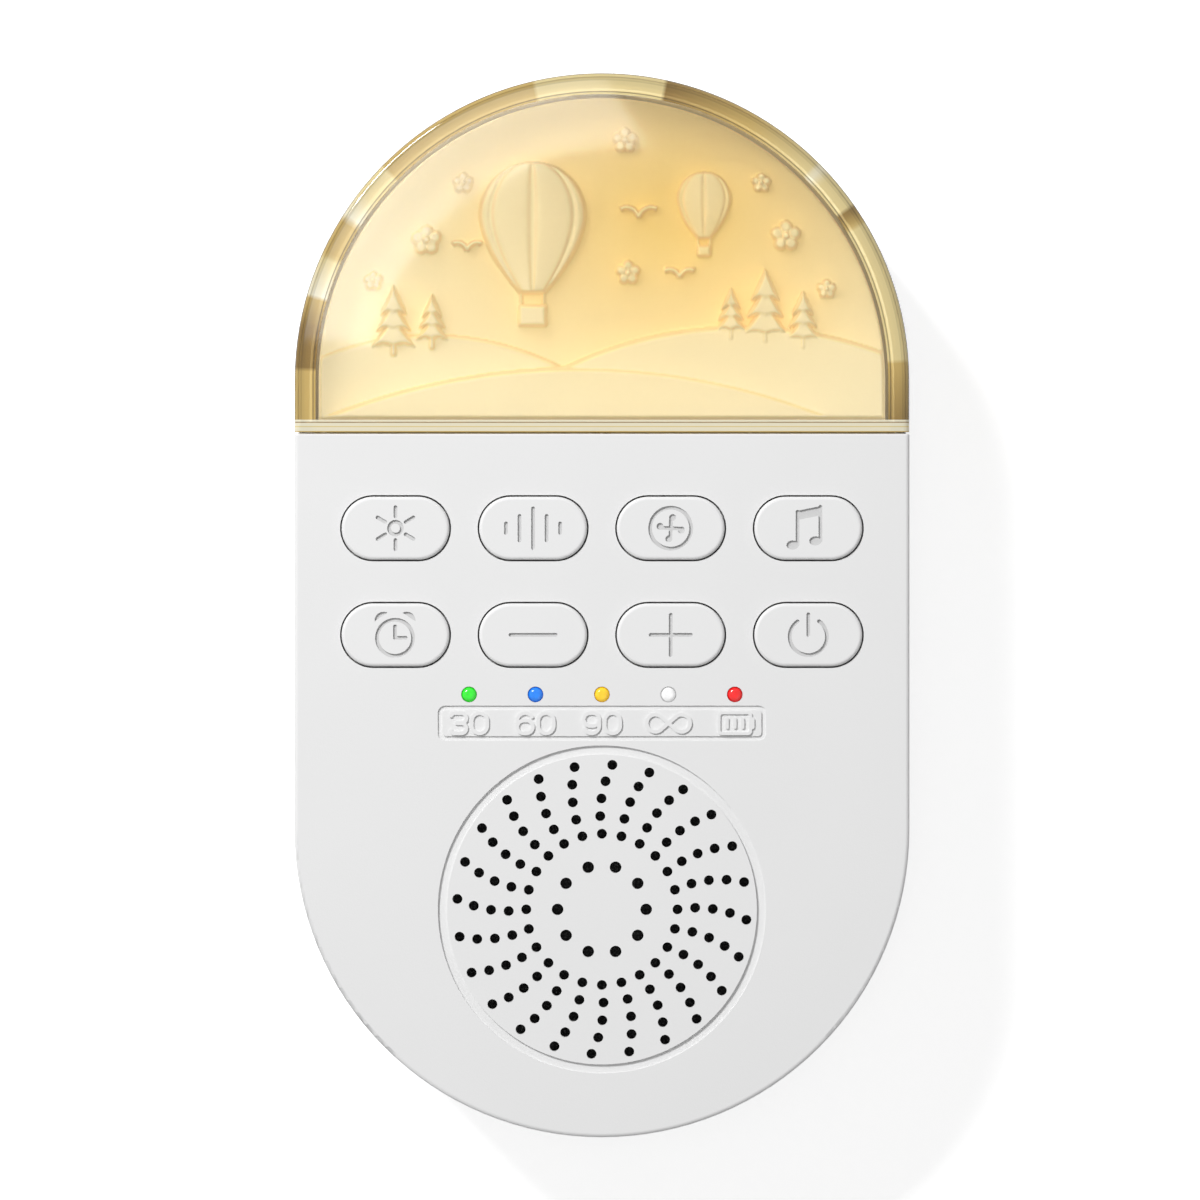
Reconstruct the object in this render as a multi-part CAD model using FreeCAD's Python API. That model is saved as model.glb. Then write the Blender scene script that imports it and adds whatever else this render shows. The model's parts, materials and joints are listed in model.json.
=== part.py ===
import FreeCAD, Part

import math
import os

from FreeCAD import Vector

# A white noise sound machine with a night lamp, in millimetres, lying on its back.
# +Z points out of the front face, +Y towards the lamp end, +X to the right of the front face.
# The origin is on the surface that the feet stand on, under the middle of the case.

# Case: a plan with two round ends
case_width = 75.0
case_length = 129.8
case_depth = 27.0
rear_depth = 11.0
case_wall = 2.0
front_edge_round = 0.5
rear_edge_round = 3.0
lip_height = 1.2
lip_clearance = 0.1

# Lamp end: a clear cover over a relief panel, a light box and a lamp board
lamp_length = 43.9
seam_gap = 0.2
cover_wall = 1.8
cover_face = 1.6
cover_flange = 1.1
cover_edge_round = 0.8
panel_gap = 1.0
panel_depth = 5.2
panel_thickness = 1.6
panel_skirt = 2.0
panel_skirt_wall = 0.6
tray_clearance = 0.2
tray_wall = 1.2
tray_floor_height = 7.2
tray_wire_room = 0.4
tray_screw_x = 24.0
tray_lower_screw_to_seam = 8.5
tray_upper_screw_to_seam = 34.5
lamp_board_width = 44.0
lamp_board_length = 16.0
lamp_board_thickness = 1.2
lamp_board_corner = 1.0
lamp_board_to_seam = 18.4
lamp_diode_size = 3.0
lamp_diode_height = 1.6
lamp_diode_columns = 4
lamp_diode_rows = 2
lamp_diode_pitch_x = 11.5
lamp_diode_pitch_y = 8.0
lamp_diode_corner = 0.4
cover_tab_width = 6.0
cover_tab_thickness = 1.0
cover_tab_drop = 3.0
cover_tab_rise = 3.2
cover_tab_hook = 0.4
cover_tab_hook_height = 0.8
cover_tab_overlap = 0.2
cover_tab_play = 0.2
cover_tab_room = 1.0
cover_tab_clearance = 0.3
cover_tab_degrees = (30.0, 90.0, 150.0)

# Relief on the panel: hills, pines, balloons, birds and blossoms, placed from its bottom middle
hill_rise = 0.7
hill_ridges = [(-21.0, -24.0, 34.5), (17.0, -38.0, 49.5), (-3.0, -76.0, 82.5)]
pine_rise = 2.4
pine_places = [(-25.5, 8.0, 7.5), (-20.8, 8.8, 5.5), (20.0, 9.5, 8.0), (24.6, 8.8, 6.0), (15.8, 9.9, 5.2)]
balloon_places = [(-8.5, 25.0, 6.6), (12.5, 27.0, 3.4)]
blossom_rise = 0.5
blossom_button_rise = 0.8
blossom_places = [(-21.5, 22.0, 1.9), (-17.0, 29.0, 1.3), (2.8, 34.2, 1.6), (22.5, 22.5, 1.9),
                  (19.5, 29.0, 1.2), (3.2, 18.0, 1.5), (27.5, 16.0, 1.2), (-28.0, 17.0, 1.2)]
blossom_petals = 5
bird_rise = 0.4
bird_places = [(4.5, 24.5, 1.5), (9.5, 17.2, 1.2), (-16.5, 20.5, 1.2)]
relief_line = 0.5
relief_sunk = 0.2

# Buttons: two rows of four
key_columns = 4
key_rows = 2
key_width = 13.15
key_height = 7.68
key_pitch_x = 16.77
key_pitch_y = 13.0
seam_to_keys = 11.63
key_gap = 0.2
key_proud = 0.5
key_edge_round = 0.42
key_flange = 0.9
key_flange_thickness = 0.8
key_flange_play = 0.1
key_stem_radius = 2.2
key_stem_length = 0.6
key_travel = 0.5

# Engraved pictograms
icon_line = 0.46
icon_depth = 0.3

# Indicators and their raised labels
indicator_radius = 0.9
indicator_gap = 0.06
indicator_proud = 0.15
indicator_flange_radius = 1.25
indicator_flange_drop = 0.6
indicator_dome = 0.54
indicator_length = 3.4
indicator_count = 5
indicator_pitch = 8.1
keys_to_indicators = 7.26
leg_width = 0.4
leg_pitch = 1.0
indicators_to_label = 3.5
label_width = 40.0
label_height = 4.27
label_groove = 0.55
label_groove_depth = 0.25
label_corner = 0.9
digit_height = 2.93
digit_width = 2.35
digit_line = 0.46
digit_gap = 0.2
digit_rise = 0.25
mark_sunk = 0.1
battery_mark_width = 4.2
battery_mark_height = 2.9
battery_mark_line = 0.36
battery_mark_nub = 0.3

# Speaker and grille
speaker_radius = 20.0
speaker_to_end = 27.8
ring_groove_width = 1.1
ring_groove_depth = 0.4
centre_hole_count = 10
centre_hole_circle = 5.4
centre_hole_radius = 0.71
grille_arm_count = 24
grille_hole_radius = 0.61
grille_holes_per_arm = 5
grille_arm_start = 9.22
grille_arm_bend_radius = 13.3
grille_arm_step = 2.16
grille_arm_lean = 10.0
cloth_thickness = 0.3
cloth_margin = 0.4
gasket_thickness = 1.5
gasket_inner_gap = 0.2
locating_ring_wall = 1.2
locating_ring_height = 2.4
locating_ring_gap = 0.2
speaker_flange_thickness = 0.8
speaker_flange_width = 3.6
basket_depth = 7.5
basket_wall = 0.7
basket_window_width = 12.0
basket_foot_overhang = 0.5
basket_foot_width = 3.0
top_plate_thickness = 1.5
magnet_thickness = 4.5
yoke_thickness = 2.0
magnet_radius = 15.0
magnet_hole_radius = 8.6
plate_inset = 0.5
pole_radius = 6.0
coil_former_gap = 0.3
coil_former_wall = 0.3
coil_outer_gap = 0.4
coil_overhang = 1.0
surround_roll = 0.9
surround_wall = 0.25
surround_lip = 0.8
surround_seat_gap = 0.1
cone_wall = 0.45
cone_neck_rise = 2.6
dust_cap_overhang = 0.8
dust_cap_lift = 0.75
dust_cap_rise = 1.6
dust_cap_wall = 0.3
spider_inner_gap = 0.1
spider_outer_gap = 0.2
spider_inner_lip = 0.6
spider_outer_lip = 1.0
spider_thickness = 0.3
spider_wave = 0.35
spider_waves = 6
cone_stroke = 0.5
clamp_degrees = (30.0, 150.0, 270.0)
clamp_circle_gap = 2.3
clamp_boss_radius = 2.0
clamp_screw_radius = 1.0
clamp_washer_radius = 3.3
clamp_washer_thickness = 0.5
clamp_screw_tip_gap = 0.5
terminal_strip_width = 7.0
terminal_strip_thickness = 1.0
terminal_strip_height = 3.2
terminal_inset = 0.9
lug_pitch = 3.2
lug_width = 1.2
lug_thickness = 0.3
lug_top_drop = 0.6
lug_height = 2.2

# Main board, its switches and its parts
board_thickness = 1.6
board_gap = 1.0
board_corner = 2.0
board_boss_gap = 0.5
board_to_speaker = 1.5
board_screw_inset = 5.0
board_screw_above_label = 1.9
chip_height = 1.5
chip_corner = 0.3
capacitor_radius = 2.0
capacitor_height = 3.6
capacitor_x = 24.0
capacitor_above_keys = 1.5
switch_size = 6.0
switch_corner = 0.4
switch_body_height = 3.5
switch_plunger_radius = 1.75
switch_plunger_rise = 1.5
switch_plunger_depth = 1.0
switch_bore_gap = 0.1
board_screw_radius = 1.0
board_boss_radius = 2.2
board_screw_length = 6.0
tray_screw_length = 5.0
small_head_radius = 1.8
small_head_height = 1.2
socket_width = 8.94
socket_height = 3.26
socket_depth = 7.35
socket_shell_wall = 0.3
socket_set_back = 0.8
socket_opening_gap = 0.33
tongue_width = 6.69
tongue_thickness = 0.7
tongue_length = 5.2

# Battery
battery_size_x = 48.0
battery_size_y = 29.0
battery_size_z = 9.0
battery_edge_round = 2.0
battery_front_round = 1.0
battery_y = 0.6
battery_pad_thickness = 0.5
battery_pad_corner = 1.0
battery_pad_inset_x = 4.0
battery_pad_inset_y = 3.0
battery_rib = 1.2
battery_rib_height = 4.0
battery_rib_length = 8.0
battery_rib_gap = 0.3

# Wires inside
wire_radius = 0.5
wire_pair_pitch = 1.4
wire_socket_width = 5.0
wire_socket_depth = 4.5
wire_socket_height = 3.4
wire_socket_inset = 0.5
lamp_socket_overhang = 0.5
battery_socket_inset = 4.0
wire_line_drop = 0.3
wire_bend = 1.4
lamp_wire_inset = 2.5
battery_wire_bend = 2.2
battery_wire_reach = 4.2

# Screws, posts and feet
case_screw_radius = 1.2
case_screw_head_radius = 2.25
case_screw_head_height = 1.6
case_screw_length = 10.0
case_screw_recess = 3.0
case_screw_seat = 1.6
case_boss_radius = 2.3
case_post_radius = 3.2
screw_gap = 0.06
screw_head_gap = 0.3
screw_tip_room = 1.0
screw_head_round = 0.4
screw_tip_taper = 0.4
post_sunk = 0.5
upper_screw_x = 31.2
lower_screw_x = 19.0
lower_screw_to_end = 12.9
cross_width = 0.5
cross_length = 2.4
cross_depth = 0.7
foot_radius = 4.5
foot_proud = 0.8
foot_sunk = 0.6
foot_gap = 0.1
foot_edge_round = 0.3
foot_x = 22.0
foot_to_end = 22.9

# How far a cutting shape runs past the face that it cuts
overrun = 1.0

# Heights worked out from the sizes above
back_z = foot_proud
front_z = back_z + case_depth
split_z = back_z + rear_depth
inner_back_z = back_z + case_wall
inner_front_z = front_z - case_wall
panel_front_z = front_z - cover_face - panel_depth
panel_back_z = panel_front_z - panel_thickness
tray_floor_z = back_z + tray_floor_height
tray_inner_z = tray_floor_z + tray_wall
lamp_board_front_z = tray_inner_z + lamp_board_thickness
key_flange_front_z = inner_front_z - key_flange_play
key_flange_back_z = key_flange_front_z - key_flange_thickness
plunger_top_z = key_flange_back_z - key_stem_length
switch_top_z = plunger_top_z - switch_plunger_rise
board_front_z = switch_top_z - switch_body_height
board_back_z = board_front_z - board_thickness
cloth_back_z = inner_front_z - cloth_thickness
speaker_flange_front_z = cloth_back_z - gasket_thickness
speaker_flange_back_z = speaker_flange_front_z - speaker_flange_thickness
basket_back_z = speaker_flange_front_z - basket_depth
lug_top_z = speaker_flange_back_z - lug_top_drop
magnet_front_z = basket_back_z - top_plate_thickness
magnet_back_z = magnet_front_z - magnet_thickness
battery_back_z = inner_back_z + battery_pad_thickness
battery_front_z = battery_back_z + battery_size_z
screw_seat_z = back_z + case_screw_recess
post_top_z = screw_seat_z + case_screw_seat

# Places in the plan worked out from the sizes above
case_radius = case_width / 2
end_centre_y = case_length / 2 - case_radius
seam_y = case_length / 2 - lamp_length
front_top_y = seam_y - seam_gap / 2
cover_bottom_y = seam_y + seam_gap / 2
cover_inner_y = cover_bottom_y + cover_flange
panel_bottom_y = cover_inner_y + panel_gap / 2
panel_inset = cover_wall + panel_gap
tray_inset = panel_inset + panel_skirt_wall + tray_clearance
first_key_y = seam_y - seam_to_keys
last_key_y = first_key_y - (key_rows - 1) * key_pitch_y
indicator_y = last_key_y - keys_to_indicators
label_y = indicator_y - indicators_to_label
speaker_y = -case_length / 2 + speaker_to_end
divider_y = front_top_y - case_wall
upper_screw_y = divider_y - case_boss_radius
lower_screw_y = -case_length / 2 + lower_screw_to_end
board_top_y = divider_y - board_gap
board_bottom_y = speaker_y + speaker_radius + board_to_speaker
board_half_width = case_radius - case_wall - board_gap
lamp_centre_y = seam_y + lamp_board_to_seam
socket_y = last_key_y
clamp_circle = speaker_radius + clamp_circle_gap
flange_inner_radius = speaker_radius - speaker_flange_width
case_screw_places = [
    (side * x, y)
    for x, y in ((upper_screw_x, upper_screw_y), (lower_screw_x, lower_screw_y))
    for side in (-1, 1)
]
board_screw_places = [
    (side * x, y)
    for x, y in (
        (key_pitch_x, upper_screw_y),
        (board_half_width - board_screw_inset, label_y + board_screw_above_label),
    )
    for side in (-1, 1)
]
foot_places = [
    (side * foot_x, end * (case_length / 2 - foot_to_end))
    for end in (-1, 1)
    for side in (-1, 1)
]
tray_screw_places = [
    (-tray_screw_x, seam_y + tray_lower_screw_to_seam),
    (tray_screw_x, seam_y + tray_lower_screw_to_seam),
    (0.0, seam_y + tray_upper_screw_to_seam),
]


# Plain shapes

def polar(centre, radius, degrees):
    """The plan point at a radius and an angle from a centre."""
    angle = math.radians(degrees)
    return centre[0] + radius * math.cos(angle), centre[1] + radius * math.sin(angle)


def disc(x, y, radius, low, high):
    return Part.makeCylinder(radius, high - low, Vector(x, y, low))


def tube(x, y, inner, outer, low, high):
    return disc(x, y, outer, low, high).cut(disc(x, y, inner, low - overrun, high + overrun))


def block(x_low, x_high, y_low, y_high, low, high):
    return Part.makeBox(x_high - x_low, y_high - y_low, high - low, Vector(x_low, y_low, low))


def upright_edges(shape):
    """The edges that run along Z."""
    return [edge for edge in shape.Edges if edge.BoundBox.XLength + edge.BoundBox.YLength < 1e-6]


def edges_at(shape, height):
    """The edges that lie at one height."""
    box = [edge.BoundBox for edge in shape.Edges]
    return [
        edge
        for edge, limits in zip(shape.Edges, box)
        if abs(limits.ZMin - height) < 1e-4 and abs(limits.ZMax - height) < 1e-4
    ]


def rounded_block(x, y, size_x, size_y, corner, low, high):
    """A block about a plan point, with its four upright edges rounded."""
    shape = block(x - size_x / 2, x + size_x / 2, y - size_y / 2, y + size_y / 2, low, high)
    return shape.makeFillet(corner, upright_edges(shape))


def plate(points, low, high):
    """A flat plate with straight sides between two heights."""
    corners = [Vector(x, y, low) for x, y in points]
    return Part.Face(Part.makePolygon(corners + corners[:1])).extrude(Vector(0, 0, high - low))


def stroke(start, end, width, low, high):
    """A straight bar with round ends centred on start and end."""
    first = Vector(start[0], start[1], low)
    last = Vector(end[0], end[1], low)
    along = (last - first).normalize() * (width / 2)
    across = Vector(-along.y, along.x, 0)
    edges = [
        Part.Arc(last - across, last + along, last + across).toShape(),
        Part.LineSegment(last + across, first + across).toShape(),
        Part.Arc(first + across, first - along, first - across).toShape(),
        Part.LineSegment(first - across, last - across).toShape(),
    ]
    return Part.Face(Part.Wire(edges)).extrude(Vector(0, 0, high - low))


def bend(centre, radius, start, end, width, low, high):
    """A curved bar with round ends, along a circle from one angle to a larger one, in degrees."""
    inner = radius - width / 2
    outer = radius + width / 2
    cap = math.degrees(width / 2 / radius)

    def at(distance, degrees):
        x, y = polar(centre, distance, degrees)
        return Vector(x, y, low)

    middle = (start + end) / 2
    edges = [
        Part.Arc(at(outer, start), at(outer, middle), at(outer, end)).toShape(),
        Part.Arc(at(outer, end), at(radius, end + cap), at(inner, end)).toShape(),
        Part.Arc(at(inner, end), at(inner, middle), at(inner, start)).toShape(),
        Part.Arc(at(inner, start), at(radius, start - cap), at(outer, start)).toShape(),
    ]
    return Part.Face(Part.Wire(edges)).extrude(Vector(0, 0, high - low))


def pill(x, y, size_x, size_y, low, high):
    """A bar with round ends that lies along X."""
    reach = (size_x - size_y) / 2
    return stroke((x - reach, y), (x + reach, y), size_y, low, high)


def case_plan(inset, low, high):
    """The whole outline of the case, moved inwards, between two heights."""
    return stroke((0, -end_centre_y), (0, end_centre_y), case_width - 2 * inset, low, high)


def part_of_plan(inset, y_low, y_high, low, high):
    """The stretch of the case's outline between two lines across it."""
    return case_plan(inset, low, high).common(block(-case_width, case_width, y_low, y_high, low, high))


def lathe(profile, x, y):
    """A turned solid about the upright line through a plan point, from radius and height pairs."""
    corners = [Vector(x + radius, y, height) for radius, height in profile]
    face = Part.Face(Part.makePolygon(corners + corners[:1]))
    return face.revolve(Vector(x, y, 0), Vector(0, 0, 1), 360)


def joined(shapes):
    """Solids that touch, made into one."""
    whole = shapes[0].fuse(shapes[1:]) if len(shapes) > 1 else shapes[0]
    return whole.removeSplitter()


def group(shapes):
    """Separate solids that share one node."""
    return Part.makeCompound([solid for shape in shapes for solid in shape.Solids])


def indicator_x(step):
    return (step - (indicator_count - 1) / 2) * indicator_pitch


def key_centre(column, row):
    """The plan point of one button."""
    return (column - (key_columns - 1) / 2) * key_pitch_x, first_key_y - row * key_pitch_y


def wire_path(points, bend_radius):
    """Straight runs between points, joined by arcs that touch both runs."""
    corners = [Vector(*point) for point in points]
    edges = []
    start = corners[0]
    for before, corner, after in zip(corners, corners[1:], corners[2:]):
        arrive = (corner - before).normalize()
        leave = (after - corner).normalize()
        turn = arrive.getAngle(leave)
        trim = bend_radius * math.tan(turn / 2)
        first = corner - arrive * trim
        last = corner + leave * trim
        inward = (leave - arrive).normalize()
        reach = bend_radius / math.cos(turn / 2) - bend_radius
        edges.append(Part.LineSegment(start, first).toShape())
        edges.append(Part.Arc(first, corner + inward * reach, last).toShape())
        start = last
    edges.append(Part.LineSegment(start, corners[-1]).toShape())
    return Part.Wire(edges)


def wire(points, bend_radius):
    """A round wire along a path."""
    path = wire_path(points, bend_radius)
    start = Vector(*points[0])
    heading = Vector(*points[1]) - start
    ring = Part.Wire([Part.makeCircle(wire_radius, start, heading)])
    return path.makePipeShell([ring], True, False)


def wire_pair(points, bend_radius, apart):
    """Two wires side by side, moved apart along one direction."""
    shift = Vector(*apart).normalize() * (wire_pair_pitch / 2)
    return group([
        wire([tuple(Vector(*point) + shift * side) for point in points], bend_radius)
        for side in (-1, 1)
    ])


# Pictograms, each a list of solids about a plan point

def sun_icon(x, y, low, high):
    core = 0.78
    marks = [tube(x, y, core - icon_line / 2, core + icon_line / 2, low, high)]
    for degrees in (31, 90, 149, 211, 270, 329):
        start = polar((x, y), 1.45, degrees)
        end = polar((x, y), 2.55, degrees)
        marks.append(stroke(start, end, icon_line, low, high))
    return marks


def sound_icon(x, y, low, high):
    pitch = 1.65
    marks = []
    for step, length in zip((-2, -1, 0, 1, 2), (1.6, 3.45, 5.3, 3.45, 1.6)):
        reach = (length - icon_line) / 2
        place = x + step * pitch
        marks.append(stroke((place, y - reach), (place, y + reach), icon_line, low, high))
    return marks


def fan_icon(x, y, low, high):
    ring = 2.5
    marks = [tube(x, y, ring - icon_line / 2, ring + icon_line / 2, low, high)]
    for degrees in (80, 170, 260, 350):
        tip = polar((x, y), 1.32, degrees)
        marks.append(disc(tip[0], tip[1], 0.42, low, high))
        marks.append(stroke((x, y), polar((x, y), 1.0, degrees + 8), icon_line, low, high))
    return marks


def notes_icon(x, y, low, high):
    left, right = x - 1.31, x + 1.47
    marks = [
        stroke((left, y - 2.0), (left, y + 2.0), icon_line, low, high),
        stroke((right, y - 1.5), (right, y + 2.6), icon_line, low, high),
        plate(((left, y + 1.0), (right, y + 1.55), (right, y + 2.7), (left, y + 2.12)), low, high),
    ]
    for stem, head_y in ((left, y - 2.05), (right, y - 1.55)):
        head = Part.Ellipse(Vector(stem - 0.6, head_y, low), 0.75, 0.56)
        face = Part.Face(Part.Wire([head.toShape()]))
        marks.append(face.extrude(Vector(0, 0, high - low)))
    return marks


def clock_icon(x, y, low, high):
    ring = 2.2
    centre = (x - 0.05, y - 0.36)
    marks = [
        tube(centre[0], centre[1], ring - icon_line / 2, ring + icon_line / 2, low, high),
        stroke(centre, (centre[0], centre[1] + 1.4), icon_line, low, high),
        stroke(centre, (centre[0] + 1.3, centre[1]), icon_line, low, high),
    ]
    for low_angle, top_angle, high_angle in ((107, 127, 141), (39, 53, 73)):
        ends = [polar(centre, 3.2, degrees) for degrees in (low_angle, high_angle)]
        crown = polar(centre, 3.6, top_angle)
        start, top, end = [Vector(px, py, low) for px, py in (ends[0], crown, ends[1])]
        bell = Part.Wire([Part.Arc(start, top, end).toShape(), Part.LineSegment(end, start).toShape()])
        marks.append(Part.Face(bell).extrude(Vector(0, 0, high - low)))
    return marks


def minus_icon(x, y, low, high):
    return [stroke((x - 2.75, y), (x + 2.75, y), icon_line, low, high)]


def plus_icon(x, y, low, high):
    reach = 2.45
    return [
        stroke((x - reach, y), (x + reach, y), icon_line, low, high),
        stroke((x, y - reach), (x, y + reach), icon_line, low, high),
    ]


def power_icon(x, y, low, high):
    radius = 2.27
    middle = y - 0.2
    return [
        bend((x, middle), radius, 125, 415, icon_line, low, high),
        stroke((x, middle + 0.2), (x, middle + 2.7), icon_line, low, high),
    ]


key_icons = {
    "key_light": sun_icon,
    "key_noise": sound_icon,
    "key_fan": fan_icon,
    "key_music": notes_icon,
    "key_timer": clock_icon,
    "key_minus": minus_icon,
    "key_plus": plus_icon,
    "key_power": power_icon,
}


# Raised label marks, each a list of solids about a plan point

def zero_mark(x, y, low, high):
    reach = (digit_height - digit_line) / 2
    side = (digit_width - digit_line) / 2
    outer = stroke((x, y - reach + side), (x, y + reach - side), digit_width, low, high)
    inner_width = digit_width - 2 * digit_line
    inner = stroke((x, y - reach + side), (x, y + reach - side), inner_width, low - overrun, high + overrun)
    return [outer.cut(inner)]


def three_mark(x, y, low, high):
    reach = (digit_height - digit_line) / 2
    side = (digit_width - digit_line) / 2
    bowl = reach / 2
    hook = 0.45
    right = x + side - bowl
    left = x - side + hook
    marks = [stroke((x - 0.25, y), (right, y), digit_line, low, high)]
    for sign in (-1, 1):
        edge = y + sign * reach
        marks.append(bend((right, y + sign * bowl), bowl, -90, 90, digit_line, low, high))
        marks.append(stroke((left, edge), (right, edge), digit_line, low, high))
        turn = (95, 165) if sign > 0 else (195, 265)
        marks.append(bend((left, edge - sign * hook), hook, turn[0], turn[1], digit_line, low, high))
    return marks


def six_mark(x, y, low, high, turned=1):
    """A six, or a nine when turned is -1."""
    reach = (digit_height - digit_line) / 2
    side = (digit_width - digit_line) / 2
    bowl = 0.78
    bowl_y = y - turned * (reach - bowl)
    top_y = y + turned * (reach - side)
    outer_reach = side - bowl
    loop_outer = pill(x, bowl_y, 2 * side + digit_line, 2 * bowl + digit_line, low, high)
    loop_inner = pill(x, bowl_y, 2 * side - digit_line, 2 * bowl - digit_line, low - overrun, high + overrun)
    stem_x = x - turned * side
    sweep = (30, 178) if turned > 0 else (210, 358)
    return [
        loop_outer.cut(loop_inner),
        stroke((stem_x, bowl_y + turned * outer_reach), (stem_x, top_y), digit_line, low, high),
        bend((x, top_y), side, sweep[0], sweep[1], digit_line, low, high),
    ]


def nine_mark(x, y, low, high):
    return six_mark(x, y, low, high, turned=-1)


def endless_mark(x, y, low, high):
    """Two open loops whose ends cross in the middle."""
    loop = 1.05
    centre = 1.6
    corner_x = centre - loop * math.cos(math.radians(50))
    corner_y = loop * math.sin(math.radians(50))
    return [
        bend((x - centre, y), loop, 50, 310, digit_line, low, high),
        bend((x + centre, y), loop, -130, 130, digit_line, low, high),
        stroke((x - corner_x, y + corner_y), (x + corner_x, y - corner_y), digit_line, low, high),
        stroke((x - corner_x, y - corner_y), (x + corner_x, y + corner_y), digit_line, low, high),
    ]


def battery_mark(x, y, low, high):
    """A cell's outline with three charge bars and a nub."""
    width, height, line = battery_mark_width, battery_mark_height, battery_mark_line
    body = rounded_block(x, y, width, height, 0.5, low, high)
    hollow = rounded_block(x, y, width - 2 * line, height - 2 * line, 0.25, low - overrun, high + overrun)
    nub_x = x + width / 2
    nub = stroke((nub_x, y - 0.45), (nub_x, y + 0.45), 2 * battery_mark_nub, low, high)
    marks = [joined([body.cut(hollow), nub])]
    for step in (-1, 0, 1):
        bar_x = x + step * 0.95
        marks.append(stroke((bar_x, y - 0.5), (bar_x, y + 0.5), 0.42, low, high))
    return marks


def label_marks(low, high):
    """Thirty, sixty, ninety, endless and the battery, one under each indicator."""
    half = (digit_width + digit_gap) / 2
    places = [indicator_x(step) for step in range(indicator_count)]
    marks = []
    for place, first in zip(places[:3], (three_mark, six_mark, nine_mark)):
        marks.append(joined(first(place - half, label_y, low, high)))
        marks += zero_mark(place + half, label_y, low, high)
    marks.append(joined(endless_mark(places[3], label_y, low, high)))
    marks += battery_mark(places[4], label_y, low, high)
    return marks


# Case pieces

def grille_holes(low, high):
    """The centre ring and the bent arms of holes."""
    centre = (0, speaker_y)
    holes = []
    for step in range(centre_hole_count):
        x, y = polar(centre, centre_hole_circle, 360 * step / centre_hole_count)
        holes.append(disc(x, y, centre_hole_radius, low, high))
    bend_degrees = math.degrees(grille_arm_step / grille_arm_bend_radius)
    for arm in range(grille_arm_count):
        heading = 360 * arm / grille_arm_count
        x, y = polar(centre, grille_arm_start, heading)
        bend_centre = polar((x, y), grille_arm_bend_radius, heading + grille_arm_lean - 90)
        for step in range(grille_holes_per_arm):
            turn = heading + grille_arm_lean + 90 - step * bend_degrees
            x, y = polar(bend_centre, grille_arm_bend_radius, turn)
            holes.append(disc(x, y, grille_hole_radius, low, high))
    return holes


def front_shell():
    shell = case_plan(0, split_z, front_z)
    shell = shell.makeFillet(front_edge_round, edges_at(shell, front_z))
    shell = shell.cut(block(-case_width, case_width, front_top_y, case_length,
                            split_z - overrun, front_z + overrun))
    top_edge = [edge for edge in edges_at(shell, front_z) if edge.BoundBox.YMin > front_top_y - 1e-4]
    shell = shell.makeFillet(front_edge_round / 2, top_edge)
    shell = shell.cut(part_of_plan(case_wall, -case_length, divider_y, split_z - overrun, inner_front_z))
    lip_room = case_wall / 2 - lip_clearance / 2
    shell = shell.cut(part_of_plan(lip_room, -case_length, divider_y, split_z - overrun,
                                   split_z + lip_height + lip_clearance))
    solids = [shell]
    for x, y in case_screw_places:
        solids.append(disc(x, y, case_boss_radius, post_top_z, inner_front_z))
    for x, y in board_screw_places:
        solids.append(disc(x, y, board_boss_radius, board_front_z, inner_front_z))
    ring_inner = speaker_radius + locating_ring_gap
    ring_low = inner_front_z - locating_ring_height
    solids.append(tube(0, speaker_y, ring_inner, ring_inner + locating_ring_wall, ring_low, inner_front_z))
    for degrees in clamp_degrees:
        x, y = polar((0, speaker_y), clamp_circle, degrees)
        solids.append(disc(x, y, clamp_boss_radius, speaker_flange_back_z, inner_front_z))
    solids += label_marks(front_z - mark_sunk, front_z + digit_rise)
    shell = joined(solids)

    cuts = [disc(0, speaker_y, ring_inner, ring_low - overrun, inner_front_z)]
    cuts += grille_holes(inner_front_z - overrun, front_z + overrun)
    groove_outer = speaker_radius
    cuts.append(tube(0, speaker_y, groove_outer - ring_groove_width, groove_outer,
                     front_z - ring_groove_depth, front_z + overrun))
    for row in range(key_rows):
        for column in range(key_columns):
            x, y = key_centre(column, row)
            cuts.append(pill(x, y, key_width + 2 * key_gap, key_height + 2 * key_gap,
                             inner_front_z - overrun, front_z + overrun))
    for step in range(indicator_count):
        x = indicator_x(step)
        cuts.append(disc(x, indicator_y, indicator_radius + indicator_gap,
                         inner_front_z - overrun, front_z + overrun))
    frame = rounded_block(0, label_y, label_width, label_height, label_corner,
                          front_z - label_groove_depth, front_z + digit_rise)
    inside = rounded_block(0, label_y, label_width - 2 * label_groove, label_height - 2 * label_groove,
                           label_corner / 2, front_z - overrun, front_z + overrun)
    cuts.append(frame.cut(inside))
    for x, y in case_screw_places:
        cuts.append(disc(x, y, case_screw_radius + screw_gap, post_top_z - overrun,
                         screw_seat_z + case_screw_length + screw_tip_room))
    for x, y in board_screw_places:
        depth = board_screw_length - board_thickness + screw_tip_room
        cuts.append(disc(x, y, board_screw_radius + screw_gap,
                         board_front_z - overrun, board_front_z + depth))
    for degrees in clamp_degrees:
        x, y = polar((0, speaker_y), clamp_circle, degrees)
        cuts.append(disc(x, y, clamp_screw_radius + screw_gap, speaker_flange_back_z - overrun,
                         inner_front_z - clamp_screw_tip_gap / 2))
    cuts.append(socket_opening())
    return shell.cut(cuts)


def socket_opening():
    """The hole in the right side wall for the charging socket."""
    height = socket_height + 2 * socket_opening_gap
    width = socket_width + 2 * socket_opening_gap
    middle_z = board_back_z - socket_height / 2
    hole = pill(0, 0, width, height, 0, case_wall + 2)
    hole.rotate(Vector(0, 0, 0), Vector(0, 0, 1), 90)
    hole.rotate(Vector(0, 0, 0), Vector(0, 1, 0), 90)
    hole.translate(Vector(case_radius - case_wall - overrun, socket_y, middle_z))
    return hole


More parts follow.
